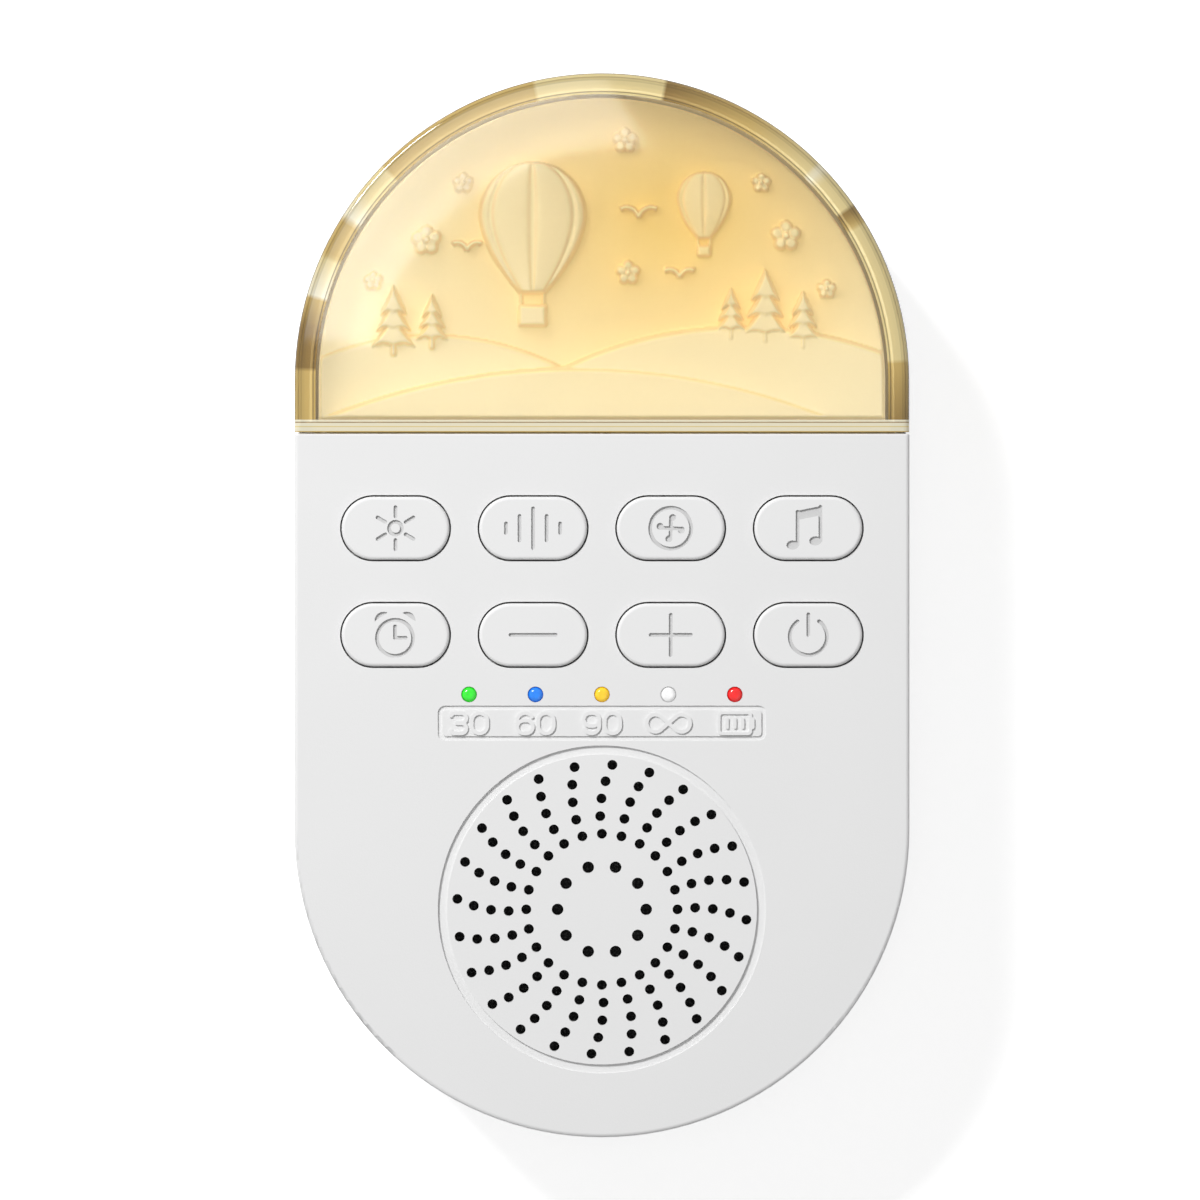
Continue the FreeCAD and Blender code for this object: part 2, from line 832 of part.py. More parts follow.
def rear_shell():
    shell = case_plan(0, back_z, split_z)
    shell = shell.makeFillet(rear_edge_round, edges_at(shell, back_z))
    hollow = case_plan(case_wall, inner_back_z, split_z + overrun)
    inner_round = rear_edge_round - case_wall / 2
    shell = shell.cut(hollow.makeFillet(inner_round, edges_at(hollow, inner_back_z)))
    lip_inset = case_wall / 2 + lip_clearance / 2
    lip = case_plan(lip_inset, split_z, split_z + lip_height)
    lip = lip.cut(case_plan(case_wall, split_z - overrun, split_z + lip_height + overrun))
    divider_room = block(-case_width, case_width, divider_y - lip_clearance,
                         cover_inner_y + lip_clearance, split_z, split_z + lip_height + overrun)
    tab_rooms = [cover_tab_place(degrees, cover_tab_width + cover_tab_room, case_wall / 2,
                                 case_wall + cover_tab_room, split_z, split_z + lip_height + overrun)
                 for degrees in cover_tab_degrees]
    solids = [shell, lip.cut([divider_room] + tab_rooms)]
    for x, y in case_screw_places:
        post = disc(x, y, case_post_radius, inner_back_z - post_sunk, post_top_z)
        solids.append(post.common(case_plan(case_wall / 2, back_z, front_z)))
    for x, y in tray_screw_places:
        solids.append(disc(x, y, case_boss_radius, inner_back_z - post_sunk, tray_floor_z))
    solids += battery_ribs()
    shell = joined(solids)

    cuts = []
    for x, y in case_screw_places:
        cuts.append(disc(x, y, case_screw_radius + 2 * screw_gap, back_z - overrun, post_top_z + overrun))
        cuts.append(disc(x, y, case_screw_head_radius + screw_head_gap, back_z - overrun, screw_seat_z))
    for x, y in tray_screw_places:
        cuts.append(disc(x, y, board_screw_radius + screw_gap,
                         inner_back_z + post_sunk, tray_floor_z + overrun))
    for x, y in foot_places:
        cuts.append(disc(x, y, foot_radius + foot_gap, back_z - overrun, back_z + foot_sunk))
    for degrees in cover_tab_degrees:
        hook_low = split_z - cover_tab_drop
        cuts.append(cover_tab_place(degrees, cover_tab_width + 2 * cover_tab_play,
                                    case_wall - cover_tab_hook - cover_tab_play, case_wall + cover_tab_room,
                                    hook_low - cover_tab_play,
                                    hook_low + cover_tab_hook_height + cover_tab_play))
    return shell.cut(cuts)


def battery_ribs():
    """Two short ribs at each corner of the battery."""
    half_x = battery_size_x / 2 + battery_rib_gap
    half_y = battery_size_y / 2 + battery_rib_gap
    low, high = inner_back_z - post_sunk, inner_back_z + battery_rib_height
    ribs = []
    for side in (-1, 1):
        for end in (-1, 1):
            x_edges = sorted((side * half_x, side * (half_x + battery_rib)))
            x_reach = sorted((side * (half_x + battery_rib), side * (half_x - battery_rib_length)))
            y_edges = sorted((end * half_y, end * (half_y + battery_rib)))
            y_reach = sorted((end * (half_y + battery_rib), end * (half_y - battery_rib_length)))
            long_rib = block(x_reach[0], x_reach[1], battery_y + y_edges[0], battery_y + y_edges[1],
                             low, high)
            short_rib = block(x_edges[0], x_edges[1], battery_y + y_reach[0], battery_y + y_reach[1],
                              low, high)
            ribs.append(joined([long_rib, short_rib]))
    return ribs


def cover_tab_place(degrees, width, inset_low, inset_high, low, high):
    """A block on the lamp end's round side, between two insets from the case's outline."""
    shape = block(case_radius - inset_high, case_radius - inset_low, -width / 2, width / 2, low, high)
    shape.rotate(Vector(0, 0, 0), Vector(0, 0, 1), degrees)
    shape.translate(Vector(0, end_centre_y, 0))
    return shape


def lamp_cover():
    cover = case_plan(0, split_z, front_z)
    cover = cover.makeFillet(cover_edge_round, edges_at(cover, front_z))
    cover = cover.cut(block(-case_width, case_width, -case_length, cover_bottom_y,
                            split_z - overrun, front_z + overrun))
    hollow = part_of_plan(cover_wall, cover_inner_y, case_length, split_z - overrun, front_z - cover_face)
    inner_round = cover_edge_round / 2
    top_edges = edges_at(hollow, front_z - cover_face)
    cover = cover.cut(hollow.makeFillet(inner_round, top_edges))
    lip_room = case_wall / 2 - lip_clearance / 2
    cover = cover.cut(part_of_plan(lip_room, cover_inner_y, case_length, split_z - overrun,
                                   split_z + lip_height + lip_clearance))
    tabs = []
    for degrees in cover_tab_degrees:
        hook_low = split_z - cover_tab_drop
        inset = case_wall + cover_tab_clearance
        bridge_low = split_z + lip_height + 2 * lip_clearance
        leg = cover_tab_place(degrees, cover_tab_width, inset, inset + cover_tab_thickness,
                              hook_low, split_z + cover_tab_rise)
        bridge = cover_tab_place(degrees, cover_tab_width, cover_wall / 2, inset + cover_tab_overlap,
                                 bridge_low, split_z + cover_tab_rise)
        hook = cover_tab_place(degrees, cover_tab_width, case_wall - cover_tab_hook,
                               inset + cover_tab_overlap, hook_low, hook_low + cover_tab_hook_height)
        tabs += [leg, bridge, hook]
    return joined([cover] + tabs)


# Lamp pieces

def relief_hills(low):
    """Three ridges, each a round-topped step cut from a large disc."""
    base = panel_bottom_y
    hills = []
    for step, (x, drop, radius) in enumerate(hill_ridges, 1):
        hills.append(disc(x, base + drop, radius, low, low + step * hill_rise))
    return hills


def relief_pine(x, y, height, low):
    """A tree of three tiers on a short trunk."""
    tier = height * 0.36
    high = low + relief_sunk + pine_rise
    tree = [plate(((x - 0.4, y), (x + 0.4, y), (x + 0.4, y + 1.4), (x - 0.4, y + 1.4)), low, high)]
    for step, reach in enumerate((0.34, 0.27, 0.2)):
        foot = y + 1.0 + step * tier * 0.72
        half = height * reach
        tree.append(plate(((x - half, foot), (x + half, foot), (x, foot + tier * 1.25)), low, high))
    return joined(tree)


def relief_balloon(x, y, radius, low):
    """A round envelope that narrows to a basket."""
    rise = radius * 0.35
    ball_radius = (radius ** 2 + rise ** 2) / (2 * rise)
    ball = Part.makeSphere(ball_radius, Vector(x, y, low + rise - ball_radius))
    dome = ball.common(disc(x, y, radius, low, low + 2 * rise))
    skirt = plate(((x - radius * 0.86, y - radius * 0.5), (x + radius * 0.86, y - radius * 0.5),
                   (x + radius * 0.24, y - radius * 1.45), (x - radius * 0.24, y - radius * 1.45)),
                  low, low + rise * 0.45)
    basket = plate(((x - radius * 0.22, y - radius * 1.95), (x + radius * 0.22, y - radius * 1.95),
                    (x + radius * 0.26, y - radius * 1.6), (x - radius * 0.26, y - radius * 1.6)),
                   low, low + rise * 0.6)
    ropes = [stroke((x + side * radius * 0.2, y - radius * 1.65), (x + side * radius * 0.2, y - radius * 1.4),
                    relief_line / 2, low, low + rise * 0.3) for side in (-1, 1)]
    return [joined([dome, skirt]), basket] + ropes


def relief_blossom(x, y, radius, low):
    """Round petals about a button."""
    petals = []
    for step in range(blossom_petals):
        place = polar((x, y), radius * 0.58, 90 + 360 * step / blossom_petals)
        petals.append(disc(place[0], place[1], radius * 0.42, low, low + relief_sunk + blossom_rise))
    return joined(petals + [disc(x, y, radius * 0.35, low, low + relief_sunk + blossom_button_rise)])


def relief_bird(x, y, size, low):
    """Two raised wings drawn as arcs."""
    high = low + relief_sunk + bird_rise
    wings = [bend((x - size, y), size, 20, 110, relief_line, low, high),
             bend((x + size, y), size, 70, 160, relief_line, low, high)]
    return joined(wings)


def relief_panel():
    low = panel_front_z - relief_sunk
    outline = part_of_plan(panel_inset, panel_bottom_y, case_length, panel_back_z - panel_skirt, front_z)
    panel = part_of_plan(panel_inset, panel_bottom_y, case_length, panel_back_z - panel_skirt, panel_front_z)
    hollow_inset = panel_inset + panel_skirt_wall
    panel = panel.cut(part_of_plan(hollow_inset, panel_bottom_y + panel_skirt_wall, case_length,
                                   panel_back_z - panel_skirt - overrun, panel_back_z))
    base = panel_bottom_y
    relief = relief_hills(low)
    for x, rise, height in pine_places:
        relief.append(relief_pine(x, base + rise, height, low))
    for x, rise, radius in balloon_places:
        relief += relief_balloon(x, base + rise, radius, low)
    for x, rise, size in blossom_places:
        relief.append(relief_blossom(x, base + rise, size, low))
    for x, rise, size in bird_places:
        relief.append(relief_bird(x, base + rise, size, low))
    raised = joined(relief).common(outline)
    return joined([panel, raised])


def lamp_tray():
    """The white light box under the panel, with a slot for the lamp's wires."""
    low_y = panel_bottom_y + panel_skirt_wall + tray_clearance
    tray = part_of_plan(tray_inset, low_y, case_length, tray_floor_z, panel_back_z)
    hollow = part_of_plan(tray_inset + tray_wall, low_y + tray_wall, case_length, tray_inner_z, front_z)
    slot_half = wire_pair_pitch / 2 + wire_radius + tray_wire_room
    slot = block(-slot_half, slot_half, low_y - overrun, low_y + tray_wall + overrun,
                 lamp_board_front_z - tray_wire_room / 2,
                 lamp_board_front_z + 2 * wire_radius + tray_wire_room)
    holes = [disc(x, y, board_screw_radius + 2 * screw_gap, tray_floor_z - overrun, tray_inner_z + overrun)
             for x, y in tray_screw_places]
    return tray.cut([hollow, slot] + holes)


def lamp_board():
    return rounded_block(0, lamp_centre_y, lamp_board_width, lamp_board_length, lamp_board_corner,
                         tray_inner_z, lamp_board_front_z)


def lamp_diodes():
    diodes = []
    for row in range(lamp_diode_rows):
        for column in range(lamp_diode_columns):
            x = (column - (lamp_diode_columns - 1) / 2) * lamp_diode_pitch_x
            y = lamp_centre_y + (row - (lamp_diode_rows - 1) / 2) * lamp_diode_pitch_y
            diodes.append(rounded_block(x, y, lamp_diode_size, lamp_diode_size, lamp_diode_corner,
                                        lamp_board_front_z, lamp_board_front_z + lamp_diode_height))
    return group(diodes)


# Buttons and switches

def key_cap(column, row, icon):
    """A button with a holding flange behind the wall and a stem on its switch."""
    x, y = key_centre(column, row)
    top = front_z + key_proud
    cap = pill(x, y, key_width, key_height, key_flange_front_z, top)
    cap = cap.makeFillet(key_edge_round, edges_at(cap, top))
    flange = pill(x, y, key_width + 2 * key_flange, key_height + 2 * key_flange,
                  key_flange_back_z, key_flange_front_z)
    stem = disc(x, y, key_stem_radius, plunger_top_z, key_flange_back_z)
    return joined([cap, flange, stem]).cut(icon(x, y, top - icon_depth, top + overrun))


def switch_plunger(column, row):
    x, y = key_centre(column, row)
    return disc(x, y, switch_plunger_radius, switch_top_z - switch_plunger_depth, plunger_top_z)


def switch_bodies():
    bodies = []
    for row in range(key_rows):
        for column in range(key_columns):
            x, y = key_centre(column, row)
            body = rounded_block(x, y, switch_size, switch_size, switch_corner, board_front_z, switch_top_z)
            bore_depth = switch_plunger_depth + 2 * key_travel
            bore = disc(x, y, switch_plunger_radius + switch_bore_gap, switch_top_z - bore_depth, front_z)
            bodies.append(body.cut(bore))
    return group(bodies)


# Board and what it carries

def main_board():
    middle_y = (board_top_y + board_bottom_y) / 2
    board = rounded_block(0, middle_y, 2 * board_half_width, board_top_y - board_bottom_y, board_corner,
                          board_back_z, board_front_z)
    cuts = [disc(x, y, case_boss_radius + board_boss_gap, board_back_z - overrun, board_front_z + overrun)
            for x, y in case_screw_places]
    cuts += [disc(x, y, board_screw_radius + 2 * screw_gap, board_back_z - overrun, board_front_z + overrun)
             for x, y in board_screw_places]
    return board.cut(cuts)


def board_chips():
    low_z = board_back_z - chip_height
    chips = [(-6.0, first_key_y - 4.5, 10.0, 4.0), (8.0, first_key_y - 4.5, 5.0, 4.0),
             (20.0, socket_y + 4.5, 5.0, 4.0), (-16.0, last_key_y - 2.5, 5.0, 4.0)]
    return group([rounded_block(x, y, size_x, size_y, chip_corner, low_z, board_back_z)
                  for x, y, size_x, size_y in chips])


def board_capacitors():
    y = first_key_y + capacitor_above_keys
    return group([disc(x, y, capacitor_radius, board_back_z - capacitor_height, board_back_z)
                  for x in (-capacitor_x, capacitor_x)])


def socket_shell():
    """The charging socket's metal shell, open towards the case's side."""
    mouth_x = case_radius - socket_set_back
    middle_z = board_back_z - socket_height / 2
    outer = pill(0, 0, socket_width, socket_height, 0, socket_depth)
    inner = pill(0, 0, socket_width - 2 * socket_shell_wall, socket_height - 2 * socket_shell_wall,
                 socket_shell_wall, socket_depth + overrun)
    return turned_to_side(outer.cut(inner), mouth_x - socket_depth, middle_z)


def socket_tongue():
    mouth_x = case_radius - socket_set_back
    middle_z = board_back_z - socket_height / 2
    tongue = block(-tongue_width / 2, tongue_width / 2, -tongue_thickness / 2, tongue_thickness / 2,
                   0, tongue_length)
    return turned_to_side(tongue, mouth_x - socket_depth + socket_shell_wall, middle_z)


def turned_to_side(shape, x, z):
    """A shape drawn along Z, turned to run along X from a place at the charging socket's line."""
    shape.rotate(Vector(0, 0, 0), Vector(0, 0, 1), 90)
    shape.rotate(Vector(0, 0, 0), Vector(0, 1, 0), 90)
    shape.translate(Vector(x, socket_y, z))
    return shape


def indicator_diode(step):
    """A small round diode with a domed tip, standing in its hole."""
    x = indicator_x(step)
    tip_z = front_z + indicator_proud
    low_z = tip_z - indicator_length
    body = disc(x, indicator_y, indicator_radius, low_z, tip_z)
    body = body.makeFillet(indicator_dome, edges_at(body, tip_z))
    rim = disc(x, indicator_y, indicator_flange_radius, low_z, inner_front_z - indicator_flange_drop)
    return joined([body, rim])


def indicator_legs():
    low_z = front_z + indicator_proud - indicator_length
    legs = []
    for step in range(indicator_count):
        for side in (-1, 1):
            x = indicator_x(step) + side * leg_pitch / 2
            legs.append(block(x - leg_width / 2, x + leg_width / 2, indicator_y - leg_width / 2,
                              indicator_y + leg_width / 2, board_front_z, low_z))
    return group(legs)


# Loudspeaker

def grille_cloth():
    return disc(0, speaker_y, speaker_radius - cloth_margin, cloth_back_z, inner_front_z)


def speaker_gasket():
    inner = surround_roll_radius() + surround_roll + surround_lip + gasket_inner_gap
    outer = speaker_radius - cloth_margin
    return tube(0, speaker_y, inner, outer, speaker_flange_front_z, cloth_back_z)


def speaker_frame():
    """The basket: a flange, a slanted wall with windows and a ring on the top plate."""
    foot_outer = magnet_radius + basket_foot_overhang
    foot_inner = foot_outer - basket_foot_width
    wall_top = flange_inner_radius + basket_wall
    profile = [
        (flange_inner_radius, speaker_flange_front_z),
        (speaker_radius, speaker_flange_front_z),
        (speaker_radius, speaker_flange_back_z),
        (wall_top, speaker_flange_back_z),
        (foot_outer, basket_back_z + basket_wall),
        (foot_outer, basket_back_z),
        (foot_inner, basket_back_z),
        (foot_inner, basket_back_z + basket_wall),
        (foot_outer - basket_wall, basket_back_z + basket_wall),
        (flange_inner_radius, speaker_flange_back_z),
    ]
    frame = lathe(profile, 0, speaker_y)
    half = basket_window_width / 2
    windows = []
    for degrees in (0, 90):
        window = block(-2 * speaker_radius, 2 * speaker_radius, -half, half,
                       basket_back_z + 2 * basket_wall, speaker_flange_back_z - basket_wall)
        window.rotate(Vector(0, 0, 0), Vector(0, 0, 1), degrees)
        window.translate(Vector(0, speaker_y, 0))
        windows.append(window)
    return frame.cut(windows)


def speaker_top_plate():
    hole = pole_radius + coil_former_gap + coil_former_wall + coil_outer_gap
    return tube(0, speaker_y, hole, magnet_radius - plate_inset, magnet_front_z, basket_back_z)


def speaker_magnet():
    return tube(0, speaker_y, magnet_hole_radius, magnet_radius, magnet_back_z, magnet_front_z)


def speaker_yoke():
    """The back plate and the pole in the middle of the magnet."""
    plate_disc = disc(0, speaker_y, magnet_radius - plate_inset,
                      magnet_back_z - yoke_thickness, magnet_back_z)
    pole = disc(0, speaker_y, pole_radius, magnet_back_z, basket_back_z)
    return joined([plate_disc, pole])


def speaker_surround():
    """The rubber roll between the flange and the cone's rim."""
    roll_radius = surround_roll_radius()
    base = speaker_flange_front_z
    roll = Part.makeTorus(roll_radius, surround_roll, Vector(0, speaker_y, base))
    roll = roll.cut(Part.makeTorus(roll_radius, surround_roll - surround_wall, Vector(0, speaker_y, base)))
    roll = roll.common(disc(0, speaker_y, speaker_radius, base, base + 2 * surround_roll))
    outer_lip = tube(0, speaker_y, roll_radius + surround_roll - surround_wall,
                     roll_radius + surround_roll + surround_lip, base, base + surround_wall)
    inner_lip = tube(0, speaker_y, roll_radius - surround_roll - surround_lip,
                     roll_radius - surround_roll + surround_wall, base, base + surround_wall)
    hollow = tube(0, speaker_y, roll_radius - surround_roll + surround_wall,
                  roll_radius + surround_roll - surround_wall, base - overrun, base)
    return joined([roll, outer_lip, inner_lip]).cut(hollow)


def surround_roll_radius():
    """The circle that the roll's section follows: its outer edge ends just inside the flange."""
    return flange_inner_radius - surround_roll - surround_seat_gap


def cone_rim_radius():
    return surround_roll_radius() - surround_roll


def former_outer_radius():
    return pole_radius + coil_former_gap + coil_former_wall


def speaker_cone():
    rim = cone_rim_radius()
    neck = former_outer_radius()
    top = speaker_flange_front_z
    neck_z = basket_back_z + cone_neck_rise
    profile = [
        (rim - surround_lip, top),
        (rim, top),
        (rim, top - cone_wall),
        (neck + cone_wall, neck_z),
        (neck, neck_z),
        (neck, neck_z + cone_wall),
    ]
    return lathe(profile, 0, speaker_y)


def speaker_dust_cap():
    """A shallow dome over the coil, glued on the cone."""
    edge = former_outer_radius() + dust_cap_overhang
    base = basket_back_z + cone_neck_rise + cone_wall + dust_cap_lift
    rise = dust_cap_rise
    ball_radius = (edge ** 2 + rise ** 2) / (2 * rise)
    outer = Part.makeSphere(ball_radius, Vector(0, speaker_y, base + rise - ball_radius))
    inner = Part.makeSphere(ball_radius - dust_cap_wall, Vector(0, speaker_y, base + rise - ball_radius))
    return outer.cut(inner).common(disc(0, speaker_y, edge, base, base + 2 * rise))


def voice_coil():
    """The former and its winding, hanging in the gap between pole and top plate."""
    inner = pole_radius + coil_former_gap
    return tube(0, speaker_y, inner, former_outer_radius(),
                magnet_front_z - coil_overhang - cone_stroke, basket_back_z + cone_neck_rise)


def speaker_spider():
    """A corrugated disc that centres the coil."""
    inner = former_outer_radius() + spider_inner_gap
    outer = magnet_radius + basket_foot_overhang - basket_wall - spider_outer_gap
    trough = basket_back_z + basket_wall + spider_thickness
    first = inner + spider_inner_lip
    last = outer - spider_outer_lip
    pitch = (last - first) / (2 * spider_waves)
    top_line = [(inner, trough), (first, trough)]
    for step in range(1, 2 * spider_waves):
        height = trough + (spider_wave if step % 2 else 0)
        top_line.append((first + step * pitch, height))
    top_line += [(last, trough), (outer, trough)]
    bottom_line = [(radius, height - spider_thickness) for radius, height in reversed(top_line)]
    return lathe(top_line + bottom_line, 0, speaker_y)


def speaker_terminals():
    """A strip with two solder lugs under the flange, on the side of the board."""
    edge = speaker_y + speaker_radius - terminal_inset
    strip = block(-terminal_strip_width / 2, terminal_strip_width / 2, edge - terminal_strip_thickness, edge,
                  speaker_flange_back_z - terminal_strip_height, speaker_flange_back_z)
    lugs = []
    for side in (-1, 1):
        x = side * lug_pitch / 2
        lugs.append(block(x - lug_width / 2, x + lug_width / 2, edge, edge + lug_thickness,
                          lug_top_z - lug_height, lug_top_z))
    return joined([strip] + lugs)


def clamp_places():
    return [polar((0, speaker_y), clamp_circle, degrees) for degrees in clamp_degrees]


def speaker_washers():
    low = speaker_flange_back_z - clamp_washer_thickness
    return group([tube(x, y, clamp_screw_radius + 2 * screw_gap, clamp_washer_radius,
                       low, speaker_flange_back_z)
                  for x, y in clamp_places()])


def screw(x, y, seat_z, shaft_radius, length, head_radius, head_height):
    """A cross-head screw that points up from its seat."""
    head = disc(x, y, head_radius, seat_z - head_height, seat_z)
    head = head.makeFillet(head_height * screw_head_round, edges_at(head, seat_z - head_height))
    shaft = disc(x, y, shaft_radius, seat_z, seat_z + length)
    shaft = shaft.makeChamfer(shaft_radius * screw_tip_taper, edges_at(shaft, seat_z + length))
    reach = min(cross_length, 1.2 * head_radius) / 2
    half = cross_width / 2
    depth = min(cross_depth, head_height * 0.6)
    cross = [block(x - reach, x + reach, y - half, y + half, seat_z - head_height - overrun,
                   seat_z - head_height + depth),
             block(x - half, x + half, y - reach, y + reach, seat_z - head_height - overrun,
                   seat_z - head_height + depth)]
    return joined([head, shaft]).cut(cross)


def speaker_screws():
    seat = speaker_flange_back_z - clamp_washer_thickness
    length = inner_front_z - clamp_screw_tip_gap - seat
    return group([screw(x, y, seat, clamp_screw_radius, length, small_head_radius, small_head_height)
                  for x, y in clamp_places()])


# Battery and wires

def battery_cell():
    cell = rounded_block(0, battery_y, battery_size_x, battery_size_y, battery_edge_round,
                         battery_back_z, battery_front_z)
    return cell.makeFillet(battery_front_round, edges_at(cell, battery_front_z))


def battery_pad():
    return rounded_block(0, battery_y, battery_size_x - 2 * battery_pad_inset_x,
                         battery_size_y - 2 * battery_pad_inset_y, battery_pad_corner,
                         inner_back_z, battery_back_z)


def wire_socket(x, y, size_x, size_y):
    return block(x - size_x / 2, x + size_x / 2, y - size_y / 2, y + size_y / 2,
                 board_back_z - wire_socket_height, board_back_z)


speaker_socket_y = board_bottom_y + wire_socket_depth / 2 + wire_socket_inset
lamp_socket_y = board_top_y - wire_socket_depth / 2 + lamp_socket_overhang
battery_socket_x = -battery_size_x / 2 + battery_socket_inset
wire_line_z = board_back_z - wire_socket_height / 2 - wire_line_drop


def wire_sockets():
    """Sockets on the back of the board for the speaker, lamp and battery."""
    return group([
        wire_socket(0, speaker_socket_y, wire_socket_width, wire_socket_depth),
        wire_socket(0, lamp_socket_y, wire_socket_width, wire_socket_depth),
        wire_socket(battery_socket_x, battery_y, wire_socket_depth, wire_socket_width),
    ])


def speaker_leads():
    start_y = speaker_y + speaker_radius - terminal_inset + lug_thickness + wire_radius
    start_z = lug_top_z - lug_height
    end_y = speaker_socket_y - wire_socket_depth / 2
    return wire_pair([(0, start_y, start_z), (0, start_y, wire_line_z), (0, end_y, wire_line_z)],
                     wire_bend, (1, 0, 0))


def lamp_leads():
    start_y = lamp_centre_y - lamp_board_length / 2 + lamp_wire_inset
    start_z = lamp_board_front_z + wire_radius
    end_z = board_back_z - wire_socket_height
    return wire_pair([(0, start_y, start_z), (0, lamp_socket_y, start_z), (0, lamp_socket_y, end_z)],
                     wire_bend, (1, 0, 0))


def battery_leads():
    edge_x = -battery_size_x / 2
    turn_x = edge_x - battery_wire_reach
    low_z = battery_back_z + battery_size_z / 2
    end_x = battery_socket_x - wire_socket_depth / 2
    return wire_pair([(edge_x, battery_y, low_z), (turn_x, battery_y, low_z),
                      (turn_x, battery_y, wire_line_z), (end_x, battery_y, wire_line_z)],
                     battery_wire_bend, (0, 1, 0))


# Screws and feet

def case_screws():
    return group([screw(x, y, screw_seat_z, case_screw_radius, case_screw_length,
                        case_screw_head_radius, case_screw_head_height) for x, y in case_screw_places])


def board_screws():
    return group([screw(x, y, board_back_z, board_screw_radius, board_screw_length,
                        small_head_radius, small_head_height)
                  for x, y in board_screw_places])


def tray_screws():
    """Screws that point down through the light box's floor."""
    screws = []
    for x, y in tray_screw_places:
        shape = screw(x, y, 0, board_screw_radius, tray_screw_length, small_head_radius, small_head_height)
        shape.rotate(Vector(x, y, 0), Vector(1, 0, 0), 180)
        shape.translate(Vector(0, 0, tray_inner_z))
        screws.append(shape)
    return group(screws)


def rubber_feet():
    feet = []
    for x, y in foot_places:
        foot = disc(x, y, foot_radius, 0, back_z + foot_sunk)
        feet.append(foot.makeFillet(foot_edge_round, edges_at(foot, 0)))
    return group(feet)


pieces = {
    "front_shell": front_shell(),
    "rear_shell": rear_shell(),
    "lamp_cover": lamp_cover(),
    "relief_panel": relief_panel(),
    "lamp_tray": lamp_tray(),
    "lamp_board": lamp_board(),
    "lamp_diodes": lamp_diodes(),
    "switch_bodies": switch_bodies(),
    "main_board": main_board(),
    "board_chips": board_chips(),
    "board_capacitors": board_capacitors(),
    "socket_shell": socket_shell(),
    "socket_tongue": socket_tongue(),
    "indicator_legs": indicator_legs(),
    "grille_cloth": grille_cloth(),
    "speaker_gasket": speaker_gasket(),
    "speaker_frame": speaker_frame(),
    "speaker_top_plate": speaker_top_plate(),
    "speaker_magnet": speaker_magnet(),
    "speaker_yoke": speaker_yoke(),
    "speaker_surround": speaker_surround(),
    "speaker_cone": speaker_cone(),
    "speaker_dust_cap": speaker_dust_cap(),
    "voice_coil": voice_coil(),
    "speaker_spider": speaker_spider(),
    "speaker_terminals": speaker_terminals(),
    "speaker_washers": speaker_washers(),
    "speaker_screws": speaker_screws(),
    "battery_cell": battery_cell(),
    "battery_pad": battery_pad(),
    "wire_sockets": wire_sockets(),
    "speaker_leads": speaker_leads(),
    "lamp_leads": lamp_leads(),
    "battery_leads": battery_leads(),
    "case_screws": case_screws(),
    "board_screws": board_screws(),
    "tray_screws": tray_screws(),
    "rubber_feet": rubber_feet(),
}
for index, (name, icon) in enumerate(key_icons.items()):
    row, column = divmod(index, key_columns)
    pieces[name] = key_cap(column, row, icon)
    pieces[name.replace("key_", "plunger_")] = switch_plunger(column, row)
for step, colour in enumerate(("green", "blue", "yellow", "white", "red")):
    pieces["indicator_" + colour] = indicator_diode(step)

os.makedirs("parts", exist_ok=True)
for name, shape in pieces.items():
    print(name, len(shape.Solids), round(shape.Volume, 2), shape.isValid())
    shape.exportStep("parts/" + name + ".step")
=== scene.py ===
import json
import math

import bpy
import numpy as np
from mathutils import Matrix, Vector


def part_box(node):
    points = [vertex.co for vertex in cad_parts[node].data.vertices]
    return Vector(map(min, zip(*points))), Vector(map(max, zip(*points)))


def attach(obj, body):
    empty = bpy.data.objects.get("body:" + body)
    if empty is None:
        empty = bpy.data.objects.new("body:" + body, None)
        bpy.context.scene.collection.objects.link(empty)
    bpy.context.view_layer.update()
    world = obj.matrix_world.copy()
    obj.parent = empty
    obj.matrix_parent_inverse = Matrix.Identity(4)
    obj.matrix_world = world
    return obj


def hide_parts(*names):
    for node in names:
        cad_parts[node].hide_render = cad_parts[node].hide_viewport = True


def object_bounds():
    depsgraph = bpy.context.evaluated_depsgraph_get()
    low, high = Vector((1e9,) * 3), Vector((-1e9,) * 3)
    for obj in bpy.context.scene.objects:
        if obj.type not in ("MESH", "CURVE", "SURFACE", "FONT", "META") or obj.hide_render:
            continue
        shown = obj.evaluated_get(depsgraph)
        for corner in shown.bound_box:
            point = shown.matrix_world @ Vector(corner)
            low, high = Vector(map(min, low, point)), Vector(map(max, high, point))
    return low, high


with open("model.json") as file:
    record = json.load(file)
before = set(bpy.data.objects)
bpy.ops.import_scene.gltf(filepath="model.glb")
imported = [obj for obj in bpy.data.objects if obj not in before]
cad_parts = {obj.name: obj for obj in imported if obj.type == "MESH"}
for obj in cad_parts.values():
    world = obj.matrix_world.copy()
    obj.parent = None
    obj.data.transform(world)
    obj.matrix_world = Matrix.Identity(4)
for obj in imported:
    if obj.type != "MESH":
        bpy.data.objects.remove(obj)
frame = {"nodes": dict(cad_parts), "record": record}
cad_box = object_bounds()

MM = 0.001

# The photograph's frame: 1200 pixels across, seen straight from the front
PHOTO_PIXELS = 1200
CASE_WIDTH = cad_box[1][0] - cad_box[0][0]
CASE_WIDTH_PIXELS = 615.5
CASE_CENTRE_PIXEL = (601.9, 605.1)
CAMERA_DISTANCE = 1.3
CAMERA_CLIP = 0.01
SENSOR = 36.0

